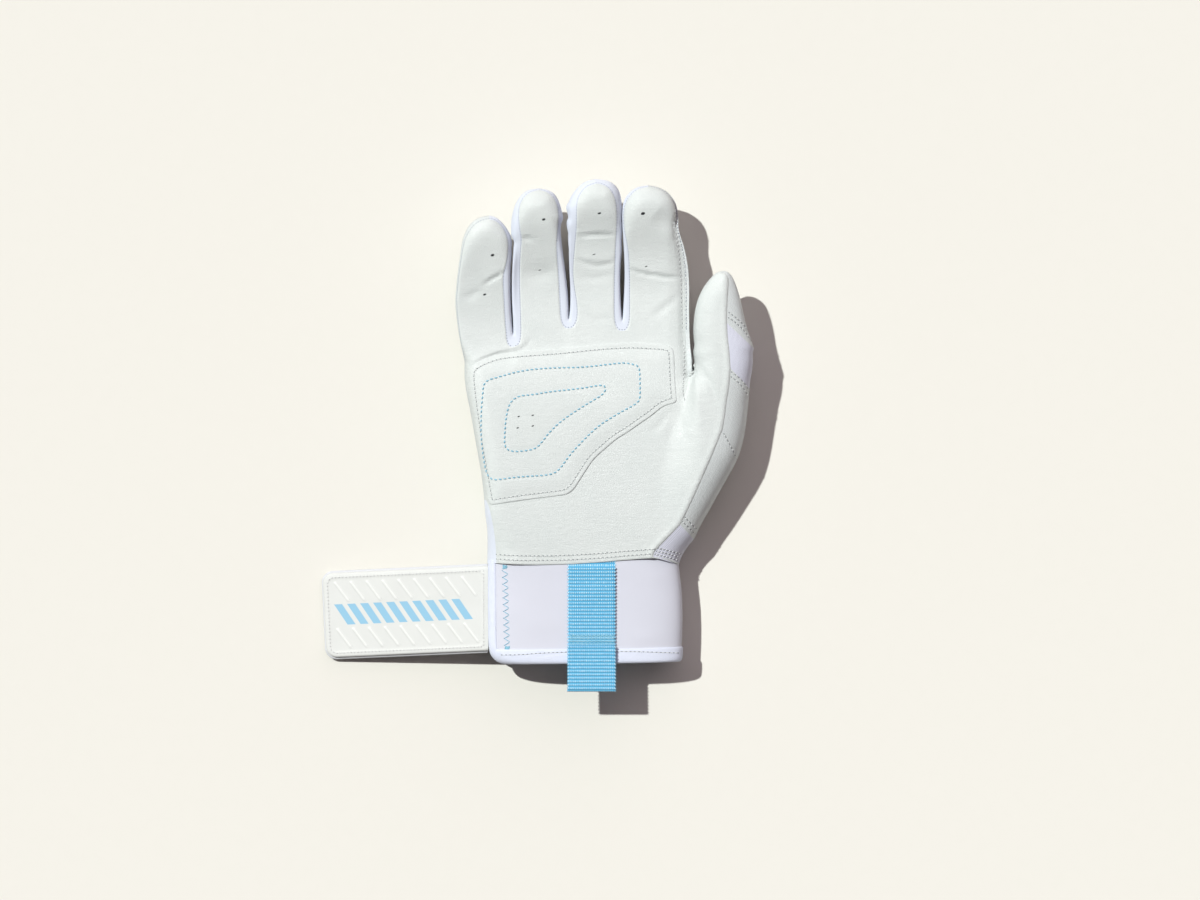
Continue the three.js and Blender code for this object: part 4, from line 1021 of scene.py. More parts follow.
def wall_layer(name, tuck):
    """A wall from the leather's edge over the widest edge and a little way round to the back."""
    outer, inner = wall_rows(name)
    across = inner - outer
    toward = unit(across)
    folds = toward * wrinkles(name, outer)
    columns = []
    for share in np.linspace(0, 1, FRONT_COLUMNS):
        spot = outer + across * (1 - share) ** FRONT_SPREAD
        columns.append(np.c_[spot - folds * share, front(spot)])
    for share in np.linspace(0, 1, UNDER_COLUMNS)[1:]:
        spot = outer + toward * tuck_at(outer, tuck) * share ** UNDER_SPREAD
        columns.append(np.c_[spot - folds * (1 - share), under(spot)])
    points = np.stack(columns, 1)
    rows, count = points.shape[:2]
    along = lengths(inner)[:, None] / MM + np.zeros((rows, count))
    steps = np.linalg.norm(np.diff(points, axis=1), axis=2) / MM
    around = np.c_[np.zeros(rows), np.cumsum(steps, 1)]
    flat = np.stack([around, along], 2).reshape(-1, 2)
    return Layer(points.reshape(-1, 3), grid_faces(rows, count), flat).flipped()


def tuck_line(tuck, *names):
    """Where a wall ends on the back, seen from above."""
    outer, inner = wall_rows(*names)
    return outer + unit(inner - outer) * tuck_at(outer, tuck)


def straight(a, b):
    """A line of evenly spaced points from a to b, both included."""
    return np.linspace(a, b, max(2, int(np.linalg.norm(b - a) / ROW_STEP) + 1))

# %% [markdown]
# ## Front leather
#
# On the real glove one hide covers the palm, the four fingers and the thumb. It is cut here where the fingers
# bend, along lines from fork to fork, and where the thumb begins. The cuts do not show because both sides follow
# the same surface.

# %% Finger hides
FINGERS = ("pinky", "ring", "middle", "index")
BEND_SPANS = {
    # for each piece, two distances along the hand in mm, given with its bend
    "pinky": (104.5, 118),
    "ring": (112.8, 126),
    "middle": (112.8, 126),
    "index": (111.8, 125),
    "thumb": (93.5, 107),
}
BEND_HEIGHT = 0.02
BENDS = {body: ("root", body, *((0.0, y * MM, BEND_HEIGHT) for y in span))
         for body, span in BEND_SPANS.items()}


def finger_sides(body):
    return body + "_outer", body + "_inner"


knuckle_cuts = []
for body in FINGERS:
    edge = wall_rows(*finger_sides(body))[1]
    knuckle_cuts.append(straight(edge[0], edge[-1]))
    points, faces = patch(clean(np.concatenate([edge, straight(edge[-1], edge[0])])))
    z = front(points) + edge_rise(nearest(points, edge)[0])
    hide = Layer(np.c_[points, z], faces, points / MM).thick(SKIN)
    piece(body + "_front_hide", hide, FRONT_LEATHER, "front_leather", nodes=[body + "_front"],
          blend=BENDS[body])

# %% [markdown]
# The palm's hide and the thumb's are one net, so that they share every point of their cut. Its outer edge has a
# low welt along the thumb, where the leather is turned under.

# %% Palm and thumb hide
WELT_RISE, WELT_INSET, WELT_START = 0.45 * MM, 1.3 * MM, 0.7
THUMB_CUT = 92.0 * MM
THUMB_TUCK = 5.4 * MM
HEEL_LINE = [(654, 557.8), (640, 558.6), (615, 560.7), (600, 562), (568, 564), (536, 564.6), (511, 564),
             (496.5, 563)]
THUMB_SIDE = ("thumb_tip", "thumb_knit", "thumb_upper", "thumb_lower", "wrist_gusset")

heel, side = wall_rows("palm_heel", "palm_side")[1], wall_rows("index_side")[1]
outer_thumb, thumb_edge = wall_rows(*THUMB_SIDE)[1], wall_rows("thumb_inner", *THUMB_SIDE)[1]
heel_line = resample(place(HEEL_LINE), int(lengths(place(HEEL_LINE))[-1] / ROW_STEP))
points, faces = patch(clean(np.concatenate([heel, *knuckle_cuts, side, thumb_edge, heel_line])))
closed_gap = np.min([nearest(points, edge)[0] for edge in (side, outer_thumb, heel_line, heel)], axis=0)
welt = nearest(points, outer_thumb)[0]
z = front(points) + edge_rise(closed_gap)
z += WELT_RISE * np.exp(-((welt - WELT_INSET) / WELT_INSET) ** 2) * ramp(welt, 0, WELT_INSET * WELT_START)
whole_hide = Layer(np.c_[points, z], faces, points / MM).joined(wall_layer("thumb_inner", THUMB_TUCK))

middles = whole_hide.middles()
thumb_rim, index_rim = wall_rows("thumb_inner")[0], wall_rows("index_side")[0]
near_thumb = nearest(middles[:, :2], thumb_rim)[0] < nearest(middles[:, :2], index_rim)[0]
on_thumb = near_thumb & (middles[:, 1] > THUMB_CUT)
palm_hide, thumb_hide = whole_hide.part(~on_thumb).thick(SKIN), whole_hide.part(on_thumb).thick(SKIN)
piece("palm_hide", palm_hide, FRONT_LEATHER, "front_leather", "root", ["palm_leather"])
piece("thumb_front_hide", thumb_hide, FRONT_LEATHER, "front_leather", nodes=["thumb_front"],
      blend=BENDS["thumb"])

# %% [markdown]
# ## Walls between the fingers
#
# The stretch cloth between front and back leather is one strip on each side of a finger. It starts under the
# leather's edge, turns over the widest edge and ends on the back.

# %% Stretch walls
FINGER_TUCK = 4.0 * MM
CLOTH = 0.6 * SKIN
WALL_SIDES = {"pinky": ["right"], "ring": ["left", "right"], "middle": ["left", "right"], "index": ["left"]}
for body, sides in WALL_SIDES.items():
    for side in sides:
        stretch = finger_sides(body)[side == "right"]
        piece(f"{body}_wall_{side}", wall_layer(stretch, FINGER_TUCK).thick(CLOTH), STRETCH, "stretch_fabric",
              nodes=[f"{body}_fourchette_{side}"], blend=BENDS[body])

# %% [markdown]
# ## Back of the hand
#
# The picture doesn't show the back. It is plain leather here, cut like the front, and on the little finger's and
# the index finger's outer side it comes round to the front, where the two leathers are sewn edge to edge.

# %% Backs of the fingers
BACK_SIDES = {"pinky": "pinky_outer", "index": "index_inner"}
back_cuts = []
for body in FINGERS:
    edge = tuck_line(FINGER_TUCK, *finger_sides(body))
    back_cuts.append(straight(edge[0], edge[-1]))
    hide = back_layer(np.concatenate([edge, straight(edge[-1], edge[0])]))
    if body in BACK_SIDES:
        hide = hide.joined(wall_layer(BACK_SIDES[body], FINGER_TUCK))
    piece(body + "_back_hide", hide.thick(SKIN), BACK_LEATHER, "back_leather", nodes=[body + "_back"],
          blend=BENDS[body])

# %% [markdown]
# ## Palm overlay
#
# A padded leather patch is sewn on the palm. Its rim is stitched flat, and two blue stitch lines quilt it down to
# the palm, so the foam swells between them. That swelling is what a cloth simulation is good at: the patch is
# pinned along its rim and its quilt lines, and a little air pressure lifts the rest.

# %% Overlay lines
OVERLAY = [(471, 367), (479, 361), (497, 354), (518, 351.5), (560, 348.6), (583, 346), (612, 343.4),
    (633.5, 342.5), (658, 344), (668, 345), (673.4, 349), (674.4, 356), (675, 374), (676, 392),
    (677, 401), (674.6, 403.6), (668, 405), (661, 408), (652, 416), (640, 424), (629, 432), (617, 439),
    (606, 448.5), (594, 459), (587.6, 468.6), (581, 479), (576, 487), (571.5, 492), (566, 495),
    (560, 496), (543, 498), (520, 501), (503, 503.6), (492, 505.3), (488, 503), (486.4, 496),
    (483.6, 480), (480.5, 462), (477, 443), (473, 415), (470, 392), (468.4, 374)]
OUTER_QUILT = [(484, 384), (489, 380), (500, 377), (513.5, 373), (529.5, 370), (543, 368.7), (560, 368),
    (583, 367.6), (606, 365), (623, 363), (630, 364), (638, 366), (639.6, 370), (640, 386),
    (640, 397), (639, 401), (634.6, 405), (623, 411), (612, 417.5), (599, 425.5), (587.6, 436),
    (577, 447), (569, 456), (561.5, 467), (556, 472.6), (548, 475), (533, 476), (516, 477),
    (498, 479.7), (492, 479.4), (487, 474), (484, 459), (481.5, 438), (481.5, 413), (483, 396)]
INNER_QUILT = [(509, 406), (513, 400), (519.6, 396), (533, 395), (549, 392), (569, 390), (586, 388), (601, 385),
    (606, 387), (605, 392), (601, 396), (589, 403), (573, 413), (559, 423), (549, 433), (543, 441),
    (538, 447), (532, 450), (514.6, 452), (508, 450), (505, 446), (505, 436), (506, 419.5)]
RIM_STITCH_INSET = 2.6 * MM
PAD_NET = 1.15 * MM


def closed_line(points):
    """A soft closed line through picture points, evenly spaced."""
    line = soften(place(points), 2, closed=True)
    line = np.concatenate([line, line[:1]])
    return resample(line, int(lengths(line)[-1] / ROW_STEP))


overlay_outline = closed_line(OVERLAY)[:-1]
outer_quilt, inner_quilt = closed_line(OUTER_QUILT), closed_line(INNER_QUILT)
points, faces = patch(overlay_outline, PAD_NET)
rim_gap = nearest(points, np.concatenate([overlay_outline, overlay_outline[:1]]))[0]
quilt_gap = np.minimum(nearest(points, outer_quilt)[0], nearest(points, inner_quilt)[0])
stitched = np.minimum(np.abs(rim_gap - RIM_STITCH_INSET), quilt_gap)
print("pad:", len(points), "points")

# %% The pad's swelling
PAD_PRESSURE, PAD_STEPS = 6, 20
PAD_SWELL, MOST_SWELL = 0.45 * MM, 1.4
SEWN_WIDTH, FREE_WIDTH = 0.75 * MM, 6 * MM
CLOTH_QUALITY, CLOTH_MASS, CLOTH_STRETCH, CLOTH_BEND = 5, 0.1, 8, 0.2


def simulated_swell():
    """How far each place of the pad rises under a little air pressure."""
    mesh = bpy.data.meshes.new("pad_cloth")
    mesh.from_pydata(np.c_[points, 0 * points[:, 0]].tolist(), [], faces)
    cloth = shown("pad_cloth", mesh)
    held = (stitched < SEWN_WIDTH) | (rim_gap < RIM_STITCH_INSET)
    cloth.vertex_groups.new(name="sewn").add(np.nonzero(held)[0].tolist(), 1.0, "REPLACE")
    settings = cloth.modifiers.new("Cloth", "CLOTH").settings
    settings.quality, settings.mass = CLOTH_QUALITY, CLOTH_MASS
    settings.tension_stiffness = settings.compression_stiffness = CLOTH_STRETCH
    settings.bending_stiffness = CLOTH_BEND
    settings.use_pressure = True
    settings.uniform_pressure_force = PAD_PRESSURE
    settings.vertex_group_mass = "sewn"
    settings.effector_weights.gravity = 0
    cloth.modifiers["Cloth"].collision_settings.use_collision = False
    for step in range(1, PAD_STEPS + 1):
        bpy.context.scene.frame_set(step)
    swollen = cloth.evaluated_get(bpy.context.evaluated_depsgraph_get()).to_mesh()
    rise = np.array([abs(v.co.z) for v in swollen.vertices])
    bpy.context.scene.frame_set(1)
    bpy.data.objects.remove(cloth)
    print("simulated swell up to", rise.max() / MM, "mm")
    return np.minimum(rise, PAD_SWELL * MOST_SWELL)


swell = simulated_swell()

# %% The pad
PAD_LIFT, PAD_ROLL = 0.8 * MM, 0.7 * MM
GROOVE_DEPTH, GROOVE_WIDTH = 0.12 * MM, 0.55 * MM
CROWN, CROWN_WIDTH = 0.25 * MM, 6 * MM

z = front(points) + PAD_LIFT * rounding(rim_gap / PAD_ROLL) + swell
z -= GROOVE_DEPTH * np.exp(-(stitched / GROOVE_WIDTH) ** 2)
z += CROWN * ramp(rim_gap, RIM_STITCH_INSET, RIM_STITCH_INSET + CROWN_WIDTH)
pad = piece("palm_overlay_pad", Layer(np.c_[points, z], faces, points / MM).thick(PAD_LIFT), FRONT_LEATHER,
            "front_leather", "root", ["palm_overlay", "palm_foam"])

# %% [markdown]
# ## Thumb panels and side strip
#
# Down the outside of the thumb the wall changes cloth several times: a leather cap at the tip, a knit panel, two
# leather panels and a knit gusset at the wrist. Each is the same kind of wall, cut at its own seams. The cap and
# the knit panel also cover the thumb's back.

# %% Panels
SIDE_TUCK = 9.0 * MM
INNER_THUMB_TUCK = 0.6
CAP_CUT, KNIT_CUT = 118 * MM, 92.5 * MM
PANELS = {
    "thumb_cap": ("thumb_tip", BACK_LEATHER, "back_leather", "thumb_tip_patch", "thumb"),
    "thumb_knit": ("thumb_knit", KNIT, "knit", "thumb_knit_panel", "thumb"),
    "thumb_panel_upper": ("thumb_upper", BACK_LEATHER, "back_leather", "thumb_base_panel_upper", None),
    "thumb_panel_lower": ("thumb_lower", BACK_LEATHER, "back_leather", "thumb_base_panel_lower", None),
    "wrist_knit": ("wrist_gusset", KNIT, "knit", "wrist_gusset", None),
    "side_strip": ("palm_heel", STRETCH, "stretch_fabric", "pinky_side_strip", None),
}

thumb_in = tuck_line(SIDE_TUCK * INNER_THUMB_TUCK, "thumb_inner")
cap_cut, knit_cut = (int(np.abs(thumb_in[:, 1] - y).argmin()) for y in (CAP_CUT, KNIT_CUT))
cap_line, knit_line = tuck_line(SIDE_TUCK, "thumb_tip"), tuck_line(SIDE_TUCK, "thumb_knit")
thumb_backs = {
    "thumb_tip": [thumb_in[cap_cut:], cap_line, straight(cap_line[-1], thumb_in[cap_cut])],
    "thumb_knit": [thumb_in[knit_cut:cap_cut + 1], straight(thumb_in[cap_cut], cap_line[-1]), knit_line,
                   straight(knit_line[-1], thumb_in[knit_cut])],
}
for name, (stretch, finish, slot, node, body) in PANELS.items():
    panel = wall_layer(stretch, SIDE_TUCK)
    if stretch in thumb_backs:
        panel = back_layer(np.concatenate(thumb_backs[stretch])).joined(panel)
    piece(name, panel.thick(SKIN), finish, slot, "root", [node], BENDS.get(body))

# %% Back panel
wrist_side = tuck_line(SIDE_TUCK, "thumb_upper", "thumb_lower", "wrist_gusset")
heel_side = tuck_line(SIDE_TUCK, "palm_heel", "palm_side")
index_side = tuck_line(FINGER_TUCK, "index_side")
back_panel = back_layer(np.concatenate([
    heel_side, *back_cuts, index_side, thumb_in[:knit_cut + 1], straight(thumb_in[knit_cut], knit_line[-1]),
    wrist_side, straight(wrist_side[-1], heel_side[0])]))
for stretch, tuck in (("palm_side", SIDE_TUCK), ("index_side", FINGER_TUCK)):
    back_panel = back_panel.joined(wall_layer(stretch, tuck))
piece("back_panel_hide", back_panel.thick(SKIN), BACK_LEATHER, "back_leather", "root", ["back_panel"])

# %% [markdown]
# ## Cuff
#
# The cuff is a short oval tube of neoprene with a slit on the little finger's side. A point on it has three
# numbers: how far along the arm, how far round from the slit's edge, and how far off the surface. With these the
# bindings are folded over its edges and the pad is sewn on its back.

# %% The cuff's own surface
CUFF_MIDDLE_HEIGHT = 14.3 * MM
CUFF_HALF_DEPTH = 12.9 * MM
CUFF_POWER = 3.3
SLIT_FRONT, SLIT_BACK = math.radians(166), math.radians(-158)
CUFF_LEFT = resample(soften(place([(487.6, 550), (487.2, 600), (487.6, 638), (488.4, 650), (492, 657.4),
                                   (498, 662.6), (506, 666)])), 60)
CUFF_RIGHT = resample(soften(place([(678.6, 560), (680, 576), (682, 592), (682.8, 620), (681.6, 648),
                                    (680.6, 661)])), 40)
HEM_LINE = place([(487, 662.6), (540, 662), (600, 661.4), (640, 661), (681, 660)])
EDGE_RISE = 0.25 * MM
RISE_Y, RISE_LEFT, RISE_RIGHT = (-10 * MM, -1 * MM), (-47 * MM, -41 * MM), (32 * MM, 40 * MM)
# soft folds: place along and across, height and reach, all in mm
CUFF_FOLDS = ((-14, 6, 0.25, 9), (-30, -22, 0.3, 11), (-36, 30, 0.35, 8), (-8, 34, 0.3, 7),
              (-24, -36, 0.22, 9))
CUFF_FOLD_SHAPE = 0.5
RING_Y, RING_STEPS = -20 * MM, 721


def oval(value):
    return np.sign(value) * np.abs(value) ** (2 / CUFF_POWER)


def cuff_ring(y, angle, off=0.0):
    """A point of the cuff: along the arm, turned round its middle, and off its surface."""
    left = np.interp(-y, -CUFF_LEFT[:, 1], CUFF_LEFT[:, 0])
    right = np.interp(-y, -CUFF_RIGHT[:, 1], CUFF_RIGHT[:, 0])
    middle, half, sideways = (left + right) / 2, (right - left) / 2, oval(np.cos(angle))
    x = middle + half * sideways
    off = off + EDGE_RISE * ramp(y, *RISE_Y) * ramp(x, *RISE_LEFT) * (1 - ramp(x, *RISE_RIGHT))
    x = middle + (half + off) * sideways
    swell = 0
    for fy, fx, size, reach in CUFF_FOLDS:
        away = -((x / MM - fx) / reach) ** 2 - ((y / MM - fy) / (reach * CUFF_FOLD_SHAPE)) ** 2
        swell = swell + size * MM * np.exp(away)
    z = CUFF_MIDDLE_HEIGHT + (CUFF_HALF_DEPTH + off + swell * (np.sin(angle) > 0)) * oval(np.sin(angle))
    return np.stack([x, y + 0 * x, z], -1)


ring_angles = np.linspace(SLIT_FRONT, SLIT_BACK, RING_STEPS)
ring_lengths = lengths(cuff_ring(np.full(RING_STEPS, RING_Y), ring_angles))
ROUND = ring_lengths[-1]
print("round the cuff:", ROUND / MM, "mm")


# %% Places on the cuff
def cuff_point(y, around, off=0.0):
    """A point of the cuff: along the arm, round from the slit's front edge, and off its surface."""
    y, around = np.broadcast_arrays(np.asarray(y, float), np.asarray(around, float))
    return cuff_ring(y, np.interp(around, ring_lengths, ring_angles), off)


def round_at(x):
    """How far round the top of the cuff a place across it is."""
    top = ring_angles > 0
    across = cuff_ring(np.full(top.sum(), RING_Y), ring_angles[top])[:, 0]
    return float(np.interp(x, across, ring_lengths[top]))


def round_to(degrees):
    """How far round the cuff an angle is."""
    return float(np.interp(math.radians(degrees), ring_angles[::-1], ring_lengths[::-1]))


def hem_at(x):
    return np.interp(x, HEM_LINE[:, 0], HEM_LINE[:, 1])


def surface_grid(rows, columns, point):
    """A grid layer of point(row, column), for two lists of places in metres."""
    r, c = np.meshgrid(rows, columns, indexing="ij")
    flat = np.stack([c.ravel(), r.ravel()], 1) / MM
    return Layer(point(r, c).reshape(-1, 3), grid_faces(len(rows), len(columns)), flat)


def outward(layer, middle):
    """The layer, turned over if its faces look at the middle of the object."""
    return layer.facing(layer.points - middle)


# %% The cuff's cloth
NEOPRENE_THICKNESS = 2.2 * MM
CUFF_START, CUFF_END, CUFF_ROWS, CUFF_STEP = 3.4 * MM, -47.4 * MM, 44, 1.5 * MM
CUFF_CENTRE = np.array([0, -24 * MM, CUFF_MIDDLE_HEIGHT])
SEAM_ROUND = round_to(-12)
NUDGE = 1e-9

for side, low, high in (("front", 0, SEAM_ROUND), ("back", SEAM_ROUND, ROUND)):
    columns = np.arange(low, high + NUDGE, (high - low) / round((high - low) / CUFF_STEP))
    layer = surface_grid(np.linspace(CUFF_START, CUFF_END, CUFF_ROWS), columns, cuff_point)
    piece(f"cuff_{side}_cloth", outward(layer, CUFF_CENTRE).thick(NEOPRENE_THICKNESS), NEOPRENE, "neoprene",
          "root", ["cuff_" + side])

# %% The turned edge of the heel
TURN_IN, TURN_DEEP, TURN_DROP = 0.5 * MM, 0.5 * MM, 0.15 * MM
TURN_STATIONS = (0, 0.5, 1)
GUSSET_END, GUSSET_STEPS = [(677.5, 564), (667, 560), (654, 557.8)], 16

heel_rim = np.concatenate([resample(place(GUSSET_END), GUSSET_STEPS)[:-1], heel_line])
cuff_tops = np.array([cuff_point(y, round_at(x))[2] for x, y in heel_rim]) - TURN_DEEP
front_tops = front(heel_rim) - TURN_DROP
print("the heel's edge stands over the cuff by", (front_tops - cuff_tops).max() / MM, "mm at most")
drop = np.minimum(cuff_tops, front_tops) - front_tops
turn_rows = np.concatenate([np.c_[heel_rim + [0, TURN_IN * share], front_tops + drop * share]
                            for share in TURN_STATIONS])
turned_edge = Layer(turn_rows, grid_faces(len(TURN_STATIONS), len(heel_rim)), turn_rows[:, [0, 2]] / MM)
piece("heel_turned_edge", turned_edge.facing([0, -1, 0]).thick(SKIN), FRONT_LEATHER, "front_leather", "root")

# %% [markdown]
# A binding is a tape folded over an edge. Its section is a hook: down one side of the cloth, round the edge and
# back on the other side. The same section runs along the slit and round the hem.

# %% Bindings
FOLD = [(1.0, 0.05), (0.97, 0.55), (0.85, 0.75), (0.5, 0.85), (0.12, 0.85), (-0.04, 0.55), (-0.12, -0.2),
        (-0.13, -1.1), (-0.12, -2.0), (-0.04, -2.8), (0.12, -3.1), (0.5, -3.05), (0.9, -2.9)]
FOLD_SECTION = soften(np.array(FOLD), 2)
FOLD_TOP = 8
SLIT_BINDING_WIDTH, HEM_BINDING_WIDTH, TAPE_THICKNESS = 4.9 * MM, 6.4 * MM, 0.35 * MM
SLIT_ROWS = np.linspace(1.0 * MM, CUFF_END, 60)
HEM_ROWS = np.linspace(0, ROUND, 200)
FOLD_FLAT = 0.6


def fold_at(column):
    """The hook's place at a column: its share of the binding's width, and its distance off the cloth."""
    share, off = (np.interp(column, range(len(FOLD_SECTION)), FOLD_SECTION[:, k]) for k in (0, 1))
    return share, off * MM


def slit_binding(r, c):
    share, off = fold_at(c)
    point = cuff_point(r, np.maximum(share, 0) * SLIT_BINDING_WIDTH, off)
    point[..., 2] += np.minimum(share, 0) * SLIT_BINDING_WIDTH
    return point


def hem_binding(r, c):
    share, off = fold_at(c)
    edge = hem_at(cuff_point(CUFF_END, r)[..., 0])
    return cuff_point(edge + share * HEM_BINDING_WIDTH, r, off)


for name, rows, shape in (("slit_binding", SLIT_ROWS, slit_binding), ("hem_binding", HEM_ROWS, hem_binding)):
    layer = surface_grid(rows, np.arange(len(FOLD_SECTION), dtype=float), shape)
    layer.flat[:, 0] *= FOLD_FLAT
    sample = len(FOLD_SECTION) * (len(rows) // 4) + FOLD_TOP
    looks_out = layer.normals()[sample] @ (layer.points[sample] - CUFF_CENTRE) > 0
    layer = layer if looks_out else layer.flipped()
    piece(name + "_tape", layer.thick(TAPE_THICKNESS), BINDING, "binding", "root", [name])

# %% Loop pad on the back of the cuff
PAD_HALF, PAD_TOP, PAD_END = 33 * MM, -8.5 * MM, -40.5 * MM
LOOP_RISE, LOOP_EDGE, LOOP_ROLL, LOOP_THICKNESS = 1.0 * MM, 0.1 * MM, 1.2 * MM, 0.9 * MM
bottom_middle = round_to(-90)


def pad_point(r, c):
    edge = np.minimum(np.minimum(PAD_TOP - r, r - PAD_END), PAD_HALF - np.abs(c - bottom_middle))
    return cuff_point(r, c, LOOP_EDGE + LOOP_RISE * rounding(edge / LOOP_ROLL))


loops = surface_grid(np.linspace(PAD_TOP, PAD_END, 30), bottom_middle + np.linspace(-PAD_HALF, PAD_HALF, 60),
                     pad_point)
piece("loop_pad_cloth", outward(loops, CUFF_CENTRE).thick(LOOP_THICKNESS), LOOPS, "hook_and_loop", "root",
      ["loop_pad"])

# %% [markdown]
# ## Pull tab
#
# One length of sky-blue webbing is sewn down the cuff and ends in a free loop past the hem. The sewn part follows
# the cuff, and its edges are the webbing's turned selvedges.

# %% Webbing
TAB_LEFT, TAB_RIGHT = place([(568, 562), (615.5, 562)])[:, 0]
TAB_MIDDLE = (TAB_LEFT + TAB_RIGHT) / 2
TAB_TOP, TAB_SEAM, TAB_END = 1.6 * MM, -40.2 * MM, -61.9 * MM
TAB_COLUMNS = np.linspace(TAB_LEFT, TAB_RIGHT, 26)
WEBBING_THICKNESS = 1.3 * MM
SELVEDGE_DEPTH, SELVEDGE_SHARE = 0.36 * MM, 0.49
UNDER_LEATHER = (-3.2 * MM, -1.2 * MM)
TAB_OFF, TAB_EDGE, TAB_ROLL, TAB_RISE = 0.35 * MM, 0.15 * MM, 0.9 * MM, 0.9
SEWN_SHARE = 0.8


def selvedge(along, c):
    """The webbing's edge goes in and out a little with every weft turn."""
    at_edge = np.abs(c - TAB_MIDDLE) > (TAB_RIGHT - TAB_LEFT) * SELVEDGE_SHARE
    return c + np.sign(c - TAB_LEFT - 1 * MM) * at_edge * SELVEDGE_DEPTH * np.sin(along * 2 * np.pi / WEFT)


def tab_point(r, c):
    edge = np.minimum(c - TAB_LEFT, TAB_RIGHT - c)
    covered = ramp(r, *UNDER_LEATHER)
    point = cuff_point(r, np.vectorize(round_at)(c), TAB_OFF * (1 - covered))
    point[..., 0] = selvedge(r, c)
    point[..., 2] += WEBBING_THICKNESS * TAB_RISE * rounding((edge + TAB_EDGE) / TAB_ROLL) * (1 - covered)
    return point


sewn = surface_grid(np.linspace(TAB_TOP, TAB_SEAM, 160), TAB_COLUMNS, tab_point)
piece("pull_tab_webbing", outward(sewn, CUFF_CENTRE).thick(WEBBING_THICKNESS * SEWN_SHARE), WEBBING,
      "webbing", "root", ["pull_tab_sewn"])

# %% The free loop
LOOP_LOW, LOOP_HIGH = 28.35 * MM, 30.9 * MM
LOOP_DIP, LOOP_SIDE, LOOP_SIDE_EDGE, LOOP_SIDE_ROLL = 0.4 * MM, 0.35 * MM, 0.1 * MM, 0.8 * MM
LOOP_STEPS, LOOP_TURN_STEPS = 80, 13
FREE_THICKNESS = 1.1 * MM
LOOP_MIDDLE = np.array([TAB_MIDDLE, TAB_SEAM - 8 * MM, (LOOP_LOW + LOOP_HIGH) / 2])
LOOP_BEND = ("root", "pull_tab", *((TAB_MIDDLE, TAB_SEAM - past * MM, LOOP_LOW) for past in (0.3, 4.5)))

turn = (LOOP_HIGH - LOOP_LOW) / 2
bend = np.linspace(math.pi / 2, math.pi * 3 / 2, LOOP_TURN_STEPS)
out_and_back = [(TAB_SEAM, TAB_END + turn, LOOP_HIGH), (TAB_END + turn, TAB_SEAM, LOOP_LOW)]
there, back = (np.stack([np.linspace(start, end, LOOP_STEPS), np.full(LOOP_STEPS, height)], 1)
               for start, end, height in out_and_back)
end = np.stack([TAB_END + turn + np.cos(bend) * turn, LOOP_MIDDLE[2] + np.sin(bend) * turn], 1)[1:-1]
loop_path = np.concatenate([there, end, back])
loop_along = lengths(loop_path)


def loop_point(r, c):
    y, z = (np.interp(r, loop_along, loop_path[:, k]) for k in (0, 1))
    edge = np.minimum(c - TAB_LEFT, TAB_RIGHT - c)
    side = np.where(r < loop_along[-1] / 2, 1, -1)
    z = z - side * LOOP_SIDE * (1 - rounding((edge + LOOP_SIDE_EDGE) / LOOP_SIDE_ROLL))
    z -= LOOP_DIP * (1 - ramp(-y, -TAB_SEAM, -TAB_END))
    return np.stack([selvedge(r, c), y, z], -1)


loop = surface_grid(loop_along, TAB_COLUMNS, loop_point)
piece("pull_tab_loop_webbing", outward(loop, LOOP_MIDDLE).thick(FREE_THICKNESS), WEBBING, "webbing",
      nodes=["pull_tab_loop"], blend=LOOP_BEND)

# %% [markdown]
# ## Wrist strap
#
# The strap is an elastic band with a moulded rubber patch on it. On the real glove both are one flexible piece,
# which folds where it meets the side of the wrist; here they are two pieces, made as the strap lies open. The
# patch has a raised rim, a sunk panel, and two rows of slanting ribs.

# %% The strap's own space
STRAP_SKEW = math.radians(2.8)
LONG_MM, NEAR_RISE_MM, FAR_RISE_MM = 78.5, 14.6, 1.7
STRAP_LENGTH = LONG_MM * MM
STRAP_HALF = 21.4 * MM
STRAP_DROP = math.asin((NEAR_RISE_MM - FAR_RISE_MM) / LONG_MM)
STRAP_START = np.array([-48.443 * MM, -22.4 * MM, NEAR_RISE_MM * MM])
STRAP_OUT = np.array([-math.cos(STRAP_SKEW) * math.cos(STRAP_DROP),
                      -math.sin(STRAP_SKEW) * math.cos(STRAP_DROP), -math.sin(STRAP_DROP)])
STRAP_SIDE = np.array([math.sin(STRAP_SKEW), -math.cos(STRAP_SKEW), 0])
STRAP_UP = np.cross(STRAP_SIDE, STRAP_OUT)
STRAP_UP = STRAP_UP if STRAP_UP[2] > 0 else -STRAP_UP
SKYWARD = (0, 0, 1)
OUTLINE_STEP = 1.0 * MM
QUARTER_TURN = np.linspace(0, math.pi / 2, 9)


def strap_point(out, side, up):
    """A point of the strap: out from the cuff, to the side and up off its underside."""
    out, side, up = np.broadcast_arrays(out, side, up)
    return STRAP_START + out[..., None] * STRAP_OUT + side[..., None] * STRAP_SIDE + up[..., None] * STRAP_UP


def rounded_gap(out, side, end, half, corner):
    """How far inside a plate with two round corners a place is."""
    a = end - corner - out
    b = half - corner - np.abs(side)
    past = np.hypot(np.minimum(a, 0), np.minimum(b, 0))
    return np.where((a < 0) | (b < 0), corner - past, corner + np.minimum(a, b))


def plate_outline(start, end, half, corner, slant=0.0):
    """The outline of a plate with two round corners at its far end and a slanting near end."""
    sine, cosine = corner * np.sin(QUARTER_TURN), corner * np.cos(QUARTER_TURN)
    far = np.concatenate([np.stack([end - corner + sine, -half + corner - cosine], 1),
                          np.stack([end - corner + cosine, half - corner + sine], 1)])
    line = np.concatenate([[[start - slant, -half]], far, [[start, half]], [[start - slant, -half]]])
    return clean(resample(line, int(lengths(line)[-1] / OUTLINE_STEP)))


